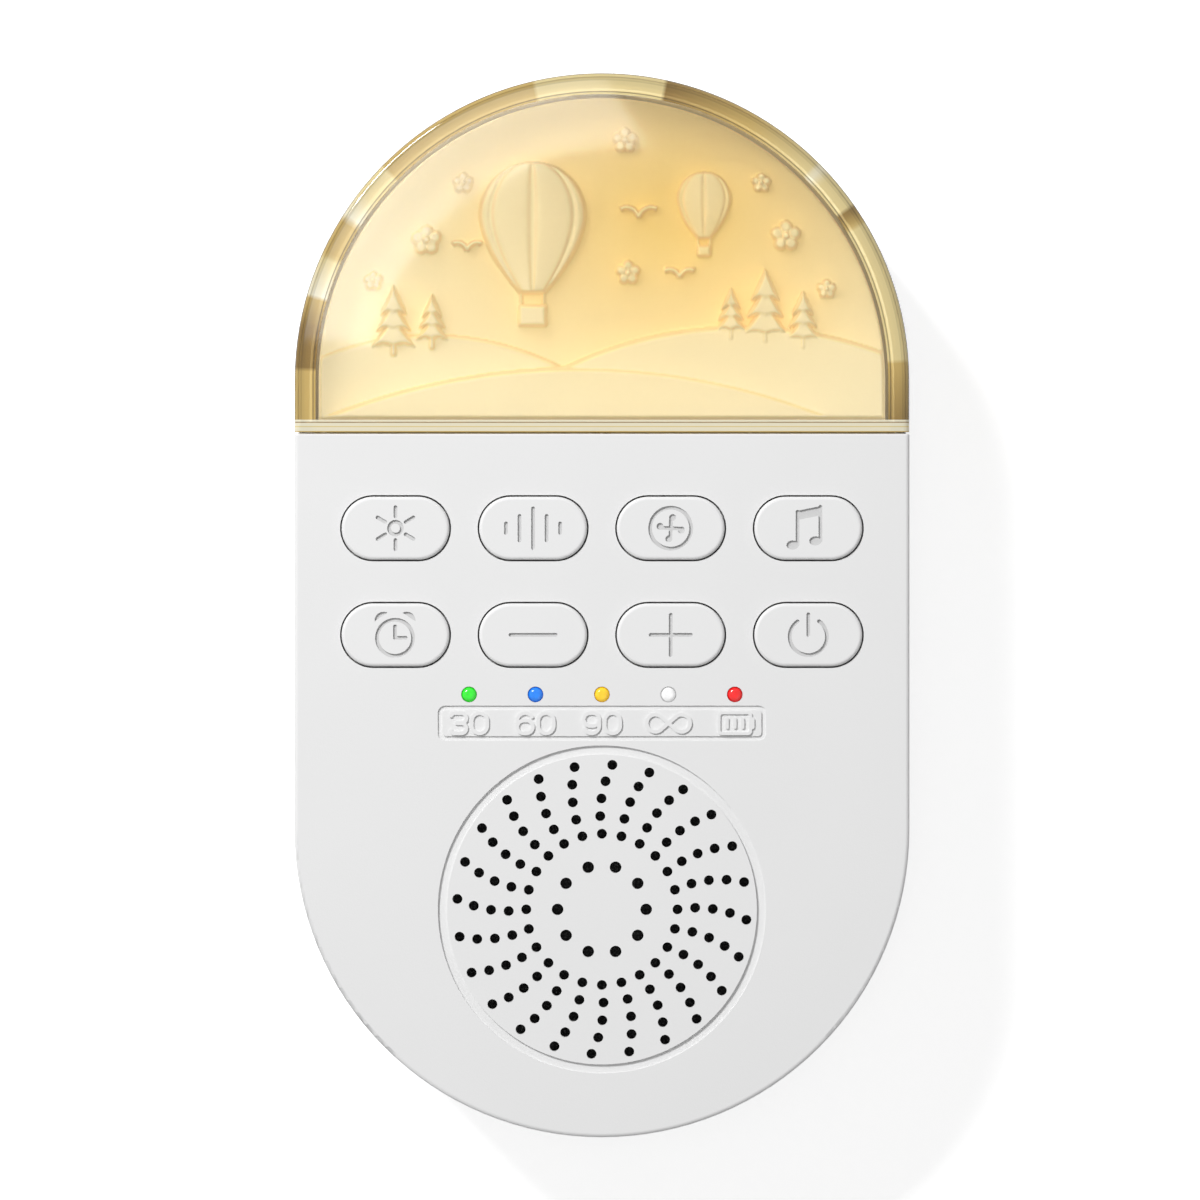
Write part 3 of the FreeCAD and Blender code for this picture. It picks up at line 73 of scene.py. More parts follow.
# Light levels, at which a white surface facing the front reads just under white
SKY_LEVEL = 0.30
KEY_POWER = 7.4
KEY_PLACE = (-0.40, 0.46, 0.70)
KEY_SIZE = 0.22
FILL_POWER = 0.8
FILL_PLACE = (0.60, -0.50, 0.80)
FILL_SIZE = 0.60

# Floor: its tone, its lift towards white, and the distances between which it fades out
FLOOR_TONE = (0.88, 0.88, 0.88, 1)
FLOOR_LIFT = 0.62
FLOOR_FADE = (0.18, 0.55)
FLOOR_REACH = 0.6

# The softbox whose mirror image lies on the cover, drawn in the photograph's pixels: circles as
# middle and radius, and the turns in degrees between which each edge of the band runs
SOFTBOX_HEIGHT = 2.6
SOFTBOX_LEVEL = 4.0
BAND_OUTER = (602, 380, 312)
BAND_OUTER_TURNS = (91, 172)
BAND_INNER = (628, 414, 268)
BAND_INNER_TURNS = (85, 165)
BAND_STEPS = 40

# Cover: its plastic, its amber depth tint which stands in for the lamp's warm light, how far in and how deep
# its rim of painted lamp glow and painted reflections goes, how high its painted flange's, and how much of
# both is painted colour rather than clear plastic
COVER_IOR = 1.49
COVER_TINT = (1.0, 0.975, 0.90, 1)
COVER_LAMPLIGHT_TINT = (1.0, 0.82, 0.42, 1)
COVER_DEPTH_DENSITY = 40.0
RIM_REACH = 2.6 * MM
RIM_DEPTH = 1.2 * MM
FLANGE_REACH = 1.5 * MM
RIM_PAINTED_SHARE = 0.72

# Painted tones of the rim, for its lamp glow, reflections and glints: dark to white
RIM_PAINTED_DARK = (0.30, 0.18, 0.04)
RIM_PAINTED_GOLD = (0.66, 0.46, 0.14)
RIM_PAINTED_PALE = (0.88, 0.72, 0.34)
RIM_PAINTED_GLINT = (0.98, 0.92, 0.70)

# Painted reflections and glints around the rim, as tones at turns in degrees from the top, left to right,
# with sharp ends between some
RIM_REFLECTION_TURN_END = 100
RIM_REFLECTION_TURNS = ((-100, RIM_PAINTED_GOLD), (-88, RIM_PAINTED_GOLD), (-87.5, RIM_PAINTED_DARK), (-80, RIM_PAINTED_DARK), (-74, RIM_PAINTED_GOLD), (-73.5, RIM_PAINTED_GLINT),
             (-66, RIM_PAINTED_PALE), (-65.5, RIM_PAINTED_GOLD), (-58, RIM_PAINTED_GOLD), (-57.5, RIM_PAINTED_GLINT), (-52, RIM_PAINTED_PALE), (-46, RIM_PAINTED_PALE),
             (-45.5, RIM_PAINTED_GOLD), (-13, RIM_PAINTED_GOLD), (-12.5, RIM_PAINTED_PALE), (12, RIM_PAINTED_PALE), (12.5, RIM_PAINTED_DARK), (30, RIM_PAINTED_GOLD), (45, RIM_PAINTED_PALE),
             (45.5, RIM_PAINTED_GLINT), (48, RIM_PAINTED_PALE), (55, RIM_PAINTED_PALE), (55.5, RIM_PAINTED_DARK), (58.5, RIM_PAINTED_GOLD), (59, RIM_PAINTED_PALE), (86, RIM_PAINTED_PALE),
             (86.5, RIM_PAINTED_GOLD), (100, RIM_PAINTED_DARK))

# Strength of the painted tones across the rim and painted colours across the flange, in lines of painted
# reflection and shade, as fractions of their reaches
RIM_PAINTED_LINES = ((0.0, 0.40), (0.05, 0.40), (0.07, 0.95), (0.15, 0.95), (0.17, 0.55), (0.21, 0.55),
             (0.24, 0.80), (0.34, 0.80), (0.36, 1.0), (0.84, 1.0), (0.86, 0.45), (0.90, 0.45), (0.92, 1.0),
             (1.0, 1.0))
FLANGE_PAINTED_LINES = ((0.0, RIM_PAINTED_GOLD), (0.06, RIM_PAINTED_GOLD), (0.10, RIM_PAINTED_GLINT), (0.38, RIM_PAINTED_GLINT), (0.41, RIM_PAINTED_PALE), (0.47, RIM_PAINTED_PALE),
                (0.50, RIM_PAINTED_GLINT), (0.74, RIM_PAINTED_GLINT), (0.77, RIM_PAINTED_DARK), (0.82, RIM_PAINTED_DARK), (0.85, RIM_PAINTED_GLINT), (1.0, RIM_PAINTED_GLINT))

# Engraved marks on the keys: where below the top they begin and end, their half extents and their tone
MARK_DEPTHS = (0.06 * MM, 0.4 * MM)
MARK_HALF = (4.2 * MM, 2.9 * MM)
MARK_GREY = (0.62, 0.62, 0.62, 1)

# Relief panel's colours: the painted warm lamplight's tone, middle and reach, the pale cream of its edges
# which is also the painted highlight of its raised places, the painted shade of sloping sides, and its
# painted glow at the foot and at the top
PANEL_LAMPLIGHT = (0.93, 0.67, 0.21)
PANEL_LAMPLIGHT_PLACE = (9 * MM, 0.64)
PANEL_LAMPLIGHT_REACH = (38 * MM, 30 * MM)
PANEL_LAMPLIGHT_CORE = 0.1
PANEL_CREAM_AND_HIGHLIGHT = (0.95, 0.85, 0.58)
PANEL_HIGHLIGHT_FROM = 0.1 * MM
PANEL_HIGHLIGHT_RISE = 1.6 * MM
PANEL_HIGHLIGHT_SHARE = 0.65
PANEL_PAINTED_SHADE = (0.72, 0.52, 0.19)
PANEL_SHADE_SLOPES = (0.97, 0.45)
PANEL_SHADE_SHARE = 0.55
PANEL_PAINTED_GLOW = (0.43, 0.16)
PANEL_ROUGHNESS = 0.5

# Relief panel's body in millimetres, and how finely its face is divided
PANEL_SKIRT = 2.0
PANEL_THICKNESS = 1.6
PANEL_EDGE_ROUND = 0.35
PANEL_COLUMNS = 460
PANEL_ROWS = 280
PANEL_ARC_LENGTH = 1.57
PANEL_LEAST_HALF = 0.05

# Relief: places and sizes in millimetres from the panel's bottom middle.
# Hills: middle, radius and rise; pines: middle, foot and size; balloons and blossoms: middle and
# radius; birds: middle and size
HILLS = ((-21.0, -24.0, 34.5, 1.1), (17.0, -38.0, 49.5, 1.9), (-3.0, -76.0, 82.5, 2.7))
PINES = ((-25.5, 8.0, 7.5), (-20.8, 8.8, 5.5), (20.0, 9.5, 8.0), (24.6, 8.8, 6.0), (15.8, 9.9, 5.2))
BALLOONS = ((-8.5, 25.0, 6.6), (12.5, 27.0, 3.4))
BLOSSOMS = ((-21.5, 22.0, 1.9), (-17.0, 29.0, 1.3), (2.8, 34.2, 1.6), (22.5, 22.5, 1.9),
            (19.5, 29.0, 1.2), (3.2, 18.0, 1.5), (27.5, 16.0, 1.2), (-28.0, 17.0, 1.2))
BIRDS = ((4.5, 24.5, 1.5), (9.5, 17.2, 1.2), (-16.5, 20.5, 1.2))
HILL_SHOULDER = 0.8

# Pine: its trunk, and its tiers' half widths, foot, spacing and height as shares of its size
TRUNK_LIFT = 0.6
TRUNK_HALF = (0.42, 0.9)
TRUNK_CORNER = 0.3
TRUNK_RISE = 2.2
TRUNK_SHOULDER = 0.4
TIER_HALVES = (0.34, 0.27, 0.2)
TIER_FOOT = 1.0
TIER_SPACING = 0.26
TIER_HEIGHT = 0.45
TIER_DROOP = 0.25
TIER_WAVES = 3.2
TIER_SWELL = 0.12
TIER_RISE = 2.6
TIER_RISE_STEP = 0.3
TIER_SHOULDER = 0.5

# Balloon, as shares of its radius: how far it hangs, its taper, its seams, and its basket and ropes
BALLOON_HANG = 1.45
BALLOON_TAPER = 0.76
BALLOON_TAPER_POWER = 1.7
BALLOON_RISE = 0.42
BALLOON_FALL = 0.35
BALLOON_EDGE = 0.35
BALLOON_LEAST_WIDTH = 0.01
SEAM_DEPTH = 0.16
SEAM_COUNT = 3.5
SEAM_WIDTH = 0.1
BASKET_DROP = 1.86
BASKET_HALF = (0.27, 0.21)
BASKET_CORNER = 0.3
BASKET_RISE = 0.3
BASKET_SHOULDER = 0.5
ROPE_TOP = (0.22, 1.4)
ROPE_FOOT = (0.2, 1.72)
ROPE_HALF = 0.22
ROPE_RISE = 0.5

# Blossom, as shares of its radius, with its rises in millimetres
PETALS = 5
PETAL_REACH = 0.58
PETAL_RADIUS = 0.43
PETAL_SHOULDER = 0.25
PETAL_RISE = 1.5
BUTTON_RADIUS = 0.3
BUTTON_SHOULDER = 0.2
BUTTON_RISE = 2.0

# Bird: the turns in degrees between which each wing's arc runs, its half width, rise and shoulder
WING_TURNS = (60, 170)
WING_HALF = 0.3
WING_RISE = 1.2
WING_SHOULDER = 0.25


def low_corner(node):
    return np.array(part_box(node)[0])


def high_corner(node):
    return np.array(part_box(node)[1])


# Shader nodes

def fresh(name):
    """A new material, its node tree and its Principled shader."""
    material = bpy.data.materials.new(name)
    material.use_nodes = True
    tree = material.node_tree
    return material, tree, tree.nodes["Principled BSDF"]


def add(tree, kind, **values):
    """A new node with its properties and unlinked inputs set."""
    node = tree.nodes.new(kind)
    for key, value in values.items():
        if hasattr(node, key):
            setattr(node, key, value)
        else:
            node.inputs[key.replace("_", " ")].default_value = value
    return node


def math_node(tree, operation, *values):
    """A Math node on sockets or numbers."""
    node = add(tree, "ShaderNodeMath", operation=operation)
    for index, value in enumerate(values):
        if isinstance(value, (int, float)):
            node.inputs[index].default_value = value
        else:
            tree.links.new(value, node.inputs[index])
    return node.outputs["Value"]


def distance(tree, first, second):
    """The length of two coordinates."""
    squares = [math_node(tree, "MULTIPLY", value, value) for value in (first, second)]
    return math_node(tree, "SQRT", math_node(tree, "ADD", *squares))


def ranged(tree, value, source, target, smooth=False):
    """A socket's value carried from one range to another."""
    node = tree.nodes.new("ShaderNodeMapRange")
    if smooth:
        node.interpolation_type = "SMOOTHSTEP"
    for name, number in zip(("From Min", "From Max", "To Min", "To Max"), source + target):
        node.inputs[name].default_value = number
    tree.links.new(value, node.inputs["Value"])
    return node.outputs["Result"]


def stepped(tree, source, stops):
    """A colour ramp with the given places and tones."""
    ramp = tree.nodes.new("ShaderNodeValToRGB")
    ramp.color_ramp.elements.remove(ramp.color_ramp.elements[1])
    for index, (place, tone) in enumerate(stops):
        element = ramp.color_ramp.elements[0] if index == 0 else ramp.color_ramp.elements.new(place)
        element.position = place
        element.color = (tuple(tone) if isinstance(tone, tuple) else (tone, tone, tone)) + (1,)
    tree.links.new(source, ramp.inputs["Fac"])
    return ramp.outputs["Color"]


def blend(tree, kind, factor, first, second):
    """A colour mix of sockets or fixed colours."""
    node = add(tree, "ShaderNodeMix", data_type="RGBA", blend_type=kind)
    for name, value in (("Factor", factor), ("A", first), ("B", second)):
        if isinstance(value, (int, float, tuple)):
            node.inputs[name].default_value = value
        else:
            tree.links.new(value, node.inputs[name])
    return node.outputs["Result"]


def coordinates(tree, kind):
    """The x, y and z of a point in one of the object's own coordinate systems."""
    place = tree.nodes.new("ShaderNodeTexCoord")
    parts = tree.nodes.new("ShaderNodeSeparateXYZ")
    tree.links.new(place.outputs[kind], parts.inputs["Vector"])
    return parts.outputs


def noise(tree, scale, detail=3.0, roughness=0.5):
    """Noise in the object's own metres."""
    place = tree.nodes.new("ShaderNodeTexCoord")
    node = add(tree, "ShaderNodeTexNoise", Scale=scale, Detail=detail, Roughness=roughness)
    tree.links.new(place.outputs["Object"], node.inputs["Vector"])
    return node


def tinted(tree, colour, spread, scale):
    """The colour, a little darker and lighter in soft patches."""
    patches = noise(tree, scale)
    darker = tuple(c * (1 - spread) for c in colour)
    lighter = tuple(min(c * (1 + spread), 1) for c in colour)
    return stepped(tree, patches.outputs["Fac"], ((0.3, darker), (0.7, lighter)))


def grain(tree, shader, scale, depth, strength=0.5):
    """A fine moulded or cast texture as a bump of real depth."""
    texture = noise(tree, scale, detail=2.0)
    bump = add(tree, "ShaderNodeBump", Strength=strength, Distance=depth)
    tree.links.new(texture.outputs["Fac"], bump.inputs["Height"])
    tree.links.new(bump.outputs["Normal"], shader.inputs["Normal"])


def uneven_gloss(tree, shader, roughness, spread, scale):
    """A roughness that differs a little from place to place."""
    texture = noise(tree, scale)
    rough = ranged(tree, texture.outputs["Fac"], (0.0, 1.0), (roughness - spread, roughness + spread))
    tree.links.new(rough, shader.inputs["Roughness"])


# Materials

def solid_material(name, colour, roughness, metallic=0.0, spread=0.03, grain_scale=2500, grain_depth=1e-5):
    """A plain material with small differences of colour, gloss and surface."""
    material, tree, shader = fresh(name)
    tree.links.new(tinted(tree, colour, spread, scale=120), shader.inputs["Base Color"])
    shader.inputs["Metallic"].default_value = metallic
    uneven_gloss(tree, shader, roughness, spread=roughness * 0.12, scale=300)
    grain(tree, shader, grain_scale, grain_depth)
    return material


def moulded_white(name, colour, roughness, grain_depth, marked=False):
    """White plastic from a spark-etched mould, with the keys' engraved marks a little greyer."""
    material, tree, shader = fresh(name)
    base = tinted(tree, colour, spread=0.006, scale=60)
    if marked:
        base = blend(tree, "MIX", engraved(tree), base, MARK_GREY)
    tree.links.new(base, shader.inputs["Base Color"])
    uneven_gloss(tree, shader, roughness, spread=0.04, scale=900)
    shader.inputs["Specular IOR Level"].default_value = 0.15
    grain(tree, shader, scale=5200, depth=grain_depth, strength=0.6)
    return material


def engraved(tree):
    """1 in a key's engraved marks: below its flat top, and well inside its outline."""
    low, high = low_corner("key_light"), high_corner("key_light")
    z = coordinates(tree, "Object")[2]
    below = math_node(tree, "LESS_THAN", z, high[2] - MARK_DEPTHS[0])
    above = math_node(tree, "GREATER_THAN", z, high[2] - MARK_DEPTHS[1])
    inside = math_node(tree, "MULTIPLY", below, above)
    shares = coordinates(tree, "Generated")
    for axis in (0, 1):
        off = math_node(tree, "ABSOLUTE", math_node(tree, "SUBTRACT", shares[axis], 0.5))
        within = math_node(tree, "LESS_THAN", off, MARK_HALF[axis] / (high[axis] - low[axis]))
        inside = math_node(tree, "MULTIPLY", inside, within)
    return inside


def clear_plastic_painted_rim():
    """Clear polished plastic whose front rim and flange carry a painted golden lamp glow, painted reflections
    and painted glints.
    """
    material, tree, shader = fresh("clear_plastic_painted_rim")
    shader.inputs["IOR"].default_value = COVER_IOR
    uneven_gloss(tree, shader, 0.02, spread=0.008, scale=200)
    inset, lift, turn, near_front = rim_places(tree)
    in_wall = math_node(tree, "LESS_THAN", inset, RIM_REACH)
    in_flange = math_node(tree, "LESS_THAN", lift, FLANGE_REACH)
    # painted rim: lamp glow, reflections and glints laid as colour over the clear plastic at its front rim
    # and flange
    rim = math_node(tree, "MULTIPLY", math_node(tree, "MAXIMUM", in_wall, in_flange), near_front)
    weight = math_node(tree, "SUBTRACT", 1.0, math_node(tree, "MULTIPLY", rim, RIM_PAINTED_SHARE))
    tree.links.new(weight, shader.inputs["Transmission Weight"])
    # painted reflections and glints around the rim, and painted lines of reflection and shade across it
    around = math_node(tree, "MULTIPLY_ADD", turn, 0.5 / math.radians(RIM_REFLECTION_TURN_END), 0.5)
    tones = stepped(tree, around, [(0.5 + 0.5 * at / RIM_REFLECTION_TURN_END, tone) for at, tone in RIM_REFLECTION_TURNS])
    lines = stepped(tree, math_node(tree, "DIVIDE", inset, RIM_REACH), RIM_PAINTED_LINES)
    wall = blend(tree, "MULTIPLY", 1.0, tones, lines)
    flange = stepped(tree, math_node(tree, "DIVIDE", lift, FLANGE_REACH), FLANGE_PAINTED_LINES)
    painted_rim_colour = blend(tree, "MIX", in_flange, wall, flange)
    tree.links.new(blend(tree, "MIX", rim, COVER_TINT, painted_rim_colour), shader.inputs["Base Color"])
    # amber absorption that stands in for the lamp's warm light in the clear plastic
    depth = add(tree, "ShaderNodeVolumeAbsorption", Color=COVER_LAMPLIGHT_TINT, Density=COVER_DEPTH_DENSITY)
    tree.links.new(depth.outputs["Volume"], tree.nodes["Material Output"].inputs["Volume"])
    return material


def rim_places(tree):
    """Distances in from the cover's outer edge and up from its flange, the turn from its top, and 1 in
    its front part."""
    low, high = low_corner("lamp_cover"), high_corner("lamp_cover")
    radius = (high[0] - low[0]) / 2
    x, y, z = coordinates(tree, "Object")
    above = math_node(tree, "SUBTRACT", y, high[1] - radius)
    reach = distance(tree, x, math_node(tree, "MAXIMUM", above, 0.0))
    inset = math_node(tree, "SUBTRACT", radius, reach)
    lift = math_node(tree, "SUBTRACT", y, low[1])
    turn = math_node(tree, "ARCTAN2", x, above)
    near_front = math_node(tree, "GREATER_THAN", z, high[2] - RIM_DEPTH)
    return inset, lift, turn, near_front


def cream_panel_painted_light():
    """Cream plastic with painted warm lamplight in the middle, paler at its edges, with a painted highlight
    on raised places, painted shade on sloping sides and a painted glow.
    """
    material, tree, shader = fresh("cream_panel_painted_light")
    low, high = low_corner("relief_panel"), high_corner("relief_panel")
    x, y, z = coordinates(tree, "Object")
    # painted warm lamplight: golden around a middle, fading to the pale cream towards the edges
    across = math_node(tree, "DIVIDE", math_node(tree, "SUBTRACT", x, PANEL_LAMPLIGHT_PLACE[0]),
                       PANEL_LAMPLIGHT_REACH[0])
    middle = low[1] + PANEL_LAMPLIGHT_PLACE[1] * (high[1] - low[1])
    along = math_node(tree, "DIVIDE", math_node(tree, "SUBTRACT", y, middle), PANEL_LAMPLIGHT_REACH[1])
    away = distance(tree, across, along)
    flat = stepped(tree, away, ((PANEL_LAMPLIGHT_CORE, PANEL_LAMPLIGHT), (1.0, PANEL_CREAM_AND_HIGHLIGHT)))
    face_z = low[2] + (PANEL_SKIRT + PANEL_THICKNESS) * MM
    # painted highlight: the higher a place stands out of the face, the paler it is drawn
    raised = ranged(tree, z, (face_z + PANEL_HIGHLIGHT_FROM, face_z + PANEL_HIGHLIGHT_RISE), (0.0, PANEL_HIGHLIGHT_SHARE))
    colour = blend(tree, "MIX", raised, flat, PANEL_CREAM_AND_HIGHLIGHT + (1,))
    # painted shade: the more a place slopes away from the face, the darker it is drawn
    painted_shade = ranged(tree, coordinates(tree, "Normal")[2], PANEL_SHADE_SLOPES, (0.0, PANEL_SHADE_SHARE))
    colour = blend(tree, "MIX", painted_shade, colour, PANEL_PAINTED_SHADE + (1,))
    tree.links.new(colour, shader.inputs["Base Color"])
    tree.links.new(colour, shader.inputs["Emission Color"])
    # painted glow: the panel is no lamp; its emission stands in for the diodes' light through it, stronger at
    # the foot
    glow = ranged(tree, y, (low[1], high[1]), PANEL_PAINTED_GLOW)
    tree.links.new(glow, shader.inputs["Emission Strength"])
    shader.inputs["Roughness"].default_value = PANEL_ROUGHNESS
    grain(tree, shader, scale=3000, depth=6e-6)
    return material


def lamp_or_painted_glow(name, colour, strength):
    """A warm diode, or a plastic wall with a painted warm glow."""
    material, tree, shader = fresh(name)
    tree.links.new(tinted(tree, colour, spread=0.04, scale=200), shader.inputs["Base Color"])
    shader.inputs["Emission Color"].default_value = list(colour) + [1]
    shader.inputs["Emission Strength"].default_value = strength
    shader.inputs["Roughness"].default_value = 0.4
    return material


def indicator_material(name, colour):
    """A tinted resin lens with a slightly uneven glow."""
    material, tree, shader = fresh(name)
    tree.links.new(tinted(tree, colour, spread=0.12, scale=1500), shader.inputs["Base Color"])
    shader.inputs["Roughness"].default_value = 0.18
    shader.inputs["Coat Weight"].default_value = 0.2
    shader.inputs["Emission Color"].default_value = list(colour) + [1]
    shader.inputs["Emission Strength"].default_value = 0.15
    return material


def woven_cloth():
    """Black cloth with crossing threads."""
    material, tree, shader = fresh("woven_cloth")
    place = tree.nodes.new("ShaderNodeTexCoord")
    waves = []
    for direction in ("X", "Y"):
        wave = add(tree, "ShaderNodeTexWave", bands_direction=direction, Scale=600.0)
        tree.links.new(place.outputs["Object"], wave.inputs["Vector"])
        waves.append(wave.outputs["Fac"])
    weave = math_node(tree, "MULTIPLY", *waves)
    threads = stepped(tree, weave, ((0.0, 0.004), (1.0, 0.03)))
    tree.links.new(threads, shader.inputs["Base Color"])
    shader.inputs["Roughness"].default_value = 0.9
    return material


def build_materials():
    """The material of each of the record's slots."""
    return {
        "body_white": moulded_white("body_white", (0.80, 0.80, 0.80), 0.6, grain_depth=1.6e-5),
        "key_white": moulded_white("key_white", (0.81, 0.81, 0.81), 0.52, grain_depth=8e-6, marked=True),
        "cover_clear": clear_plastic_painted_rim(),
        "panel_cream": cream_panel_painted_light(),
        # the lamp tray is no lamp: its golden colour and glow are painted lamplight
        "tray_white": lamp_or_painted_glow("painted_glow_white", (0.93, 0.74, 0.38), strength=0.25),
        "diode_warm": lamp_or_painted_glow("diode_warm", (1.0, 0.72, 0.32), strength=3.0),
        "board_green": solid_material("board_green", (0.02, 0.11, 0.05), 0.35),
        "black_plastic": solid_material("black_plastic", (0.015, 0.015, 0.016), 0.45),
        "steel": solid_material("steel", (0.55, 0.55, 0.56), 0.3, metallic=1.0),
        "plated_zinc": solid_material("plated_zinc", (0.7, 0.7, 0.72), 0.22, metallic=1.0),
        "ferrite": solid_material("ferrite", (0.02, 0.02, 0.022), 0.6, spread=0.1,
                                  grain_scale=1200, grain_depth=3e-5),
        "copper": solid_material("copper", (0.6, 0.25, 0.12), 0.3, metallic=1.0),
        "paper_black": solid_material("paper_black", (0.015, 0.015, 0.015), 0.85, spread=0.2,
                                      grain_scale=1500, grain_depth=4e-5),
        "rubber_black": solid_material("rubber_black", (0.012, 0.012, 0.012), 0.7),
        "rubber_grey": solid_material("rubber_grey", (0.42, 0.42, 0.42), 0.75, spread=0.05,
                                      grain_scale=1800, grain_depth=3e-5),
        "cloth_black": woven_cloth(),
        "cloth_amber": solid_material("cloth_amber", (0.45, 0.25, 0.06), 0.7, spread=0.1,
                                      grain_scale=1500, grain_depth=5e-5),
        "foam_black": solid_material("foam_black", (0.02, 0.02, 0.02), 0.95, spread=0.2,
                                     grain_scale=900, grain_depth=8e-5),
        "cell_silver": solid_material("cell_silver", (0.6, 0.6, 0.62), 0.3, metallic=1.0, spread=0.05,
                                      grain_scale=400, grain_depth=5e-5),
        "wire_red": solid_material("wire_red", (0.5, 0.02, 0.02), 0.4),
        "wire_white": solid_material("wire_white", (0.84, 0.74, 0.52), 0.4),
        "indicator_green": indicator_material("indicator_green", (0.03, 0.80, 0.03)),
        "indicator_blue": indicator_material("indicator_blue", (0.01, 0.22, 0.88)),
        "indicator_yellow": indicator_material("indicator_yellow", (1.0, 0.60, 0.02)),
        "indicator_white": indicator_material("indicator_white", (0.85, 0.85, 0.85)),
        "indicator_red": indicator_material("indicator_red", (0.85, 0.01, 0.01)),
    }


def dress_nodes(materials):
    """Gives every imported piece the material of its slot."""
    for row in frame["record"]["subparts"]:
        node = frame["nodes"][row["node"]]
        node.data.materials.clear()
        node.data.materials.append(materials[row["material_slot"]])


# Relief panel's face: its height at places x, y in millimetres

def pillow(inside, rise, edge):
    """A raised shape: inside is how far in from its outline a place lies, edge how wide its shoulder is."""
    step = np.clip(inside / edge, 0, 1)
    return rise * np.sqrt(np.clip(1 - (1 - step) ** 2, 0, 1))


def in_circle(x, y, cx, cy, radius):
    return radius - np.hypot(x - cx, y - cy)


def in_box(x, y, cx, cy, half_x, half_y, corner):
    dx = np.abs(x - cx) - half_x + corner
    dy = np.abs(y - cy) - half_y + corner
    return corner - (np.hypot(np.maximum(dx, 0), np.maximum(dy, 0)) + np.minimum(np.maximum(dx, dy), 0))


def in_line(x, y, ax, ay, bx, by, half):
    length = (bx - ax) ** 2 + (by - ay) ** 2
    along = np.clip(((x - ax) * (bx - ax) + (y - ay) * (by - ay)) / length, 0, 1)
    return half - np.hypot(x - ax - along * (bx - ax), y - ay - along * (by - ay))


def add_hills(height, x, y):
    for cx, cy, radius, rise in HILLS:
        height = np.maximum(height, pillow(in_circle(x, y, cx, cy, radius), rise, HILL_SHOULDER))
    return height


def add_pine(height, x, y, cx, foot, size):
    trunk = in_box(x, y, cx, foot + TRUNK_LIFT, TRUNK_HALF[0], TRUNK_HALF[1], TRUNK_CORNER)
    height = np.maximum(height, pillow(trunk, TRUNK_RISE, TRUNK_SHOULDER))
    for step, share in enumerate(TIER_HALVES):
        low = foot + TIER_FOOT + step * size * TIER_SPACING
        tier = size * TIER_HEIGHT
        half = size * share
        slope = math.hypot(half, tier)
        side = ((low + tier - y) * half - np.abs(x - cx) * tier) / slope
        droop = y - low - TIER_DROOP * np.abs(np.sin((x - cx) * TIER_WAVES / half))
        inside = np.minimum(side, droop) + TIER_SWELL
        height = np.maximum(height, pillow(inside, TIER_RISE + TIER_RISE_STEP * step, TIER_SHOULDER))
    return height


def add_balloon(height, x, y, cx, cy, radius):
    below = np.clip((cy - y) / (BALLOON_HANG * radius), 0, 1)
    round_top = np.sqrt(np.clip(1 - ((y - cy) / radius) ** 2, 0, 1))
    width = radius * np.where(y > cy, round_top, 1 - BALLOON_TAPER * below ** BALLOON_TAPER_POWER)
    inside = np.minimum(width - np.abs(x - cx), np.minimum(cy + radius - y, y - cy + BALLOON_HANG * radius))
    across = np.clip((x - cx) / np.maximum(width, BALLOON_LEAST_WIDTH), -1, 1)
    off_seam = (np.arcsin(across) * SEAM_COUNT / math.pi + 0.5) % 1 - 0.5
    seams = 1 - SEAM_DEPTH * np.exp(-(off_seam / SEAM_WIDTH) ** 2)
    dome = np.sqrt(np.clip(1 - across ** 2, 0, 1)) * np.where(y > cy, 1, 1 - BALLOON_FALL * below)
    edge = np.clip(inside / BALLOON_EDGE, 0, 1) ** 0.5
    rise = BALLOON_RISE * radius * seams * np.sqrt(np.clip(dome, 0, 1)) * edge
    height = np.maximum(height, np.where(inside > 0, rise, 0))
    basket = in_box(x, y, cx, cy - BASKET_DROP * radius, BASKET_HALF[0] * radius, BASKET_HALF[1] * radius,
                    BASKET_CORNER)
    height = np.maximum(height, pillow(basket, BASKET_RISE * radius, BASKET_SHOULDER))
    for side in (-1, 1):
        rope = in_line(x, y, cx + side * ROPE_TOP[0] * radius, cy - ROPE_TOP[1] * radius,
                       cx + side * ROPE_FOOT[0] * radius, cy - ROPE_FOOT[1] * radius, ROPE_HALF)
        height = np.maximum(height, pillow(rope, ROPE_RISE, ROPE_HALF))
    return height


def add_blossom(height, x, y, cx, cy, radius):
    for step in range(PETALS):
        turn = math.radians(90 + 360 / PETALS * step)
        petal = in_circle(x, y, cx + PETAL_REACH * radius * math.cos(turn),
                          cy + PETAL_REACH * radius * math.sin(turn), PETAL_RADIUS * radius)
        height = np.maximum(height, pillow(petal, PETAL_RISE, PETAL_SHOULDER * radius))
    button = in_circle(x, y, cx, cy, radius * BUTTON_RADIUS)
    return np.maximum(height, pillow(button, BUTTON_RISE, BUTTON_SHOULDER * radius))


def add_bird(height, x, y, cx, cy, size):
    for side in (-1, 1):
        off_arc = np.abs(np.hypot(x - cx - side * size, y - cy) - size)
        turn = np.degrees(np.arctan2(y - cy, side * (x - cx - side * size)))
        wing = np.where((turn > WING_TURNS[0]) & (turn < WING_TURNS[1]), WING_HALF - off_arc, -1)
        height = np.maximum(height, pillow(wing, WING_RISE, WING_SHOULDER))
    return height


def relief_height(x, y):
    """How far the relief stands out of the panel."""
    height = add_hills(np.zeros_like(x), x, y)
    for motif, places in ((add_pine, PINES), (add_balloon, BALLOONS), (add_blossom, BLOSSOMS),
                          (add_bird, BIRDS)):
        for place in places:
            height = motif(height, x, y, *place)
    return height


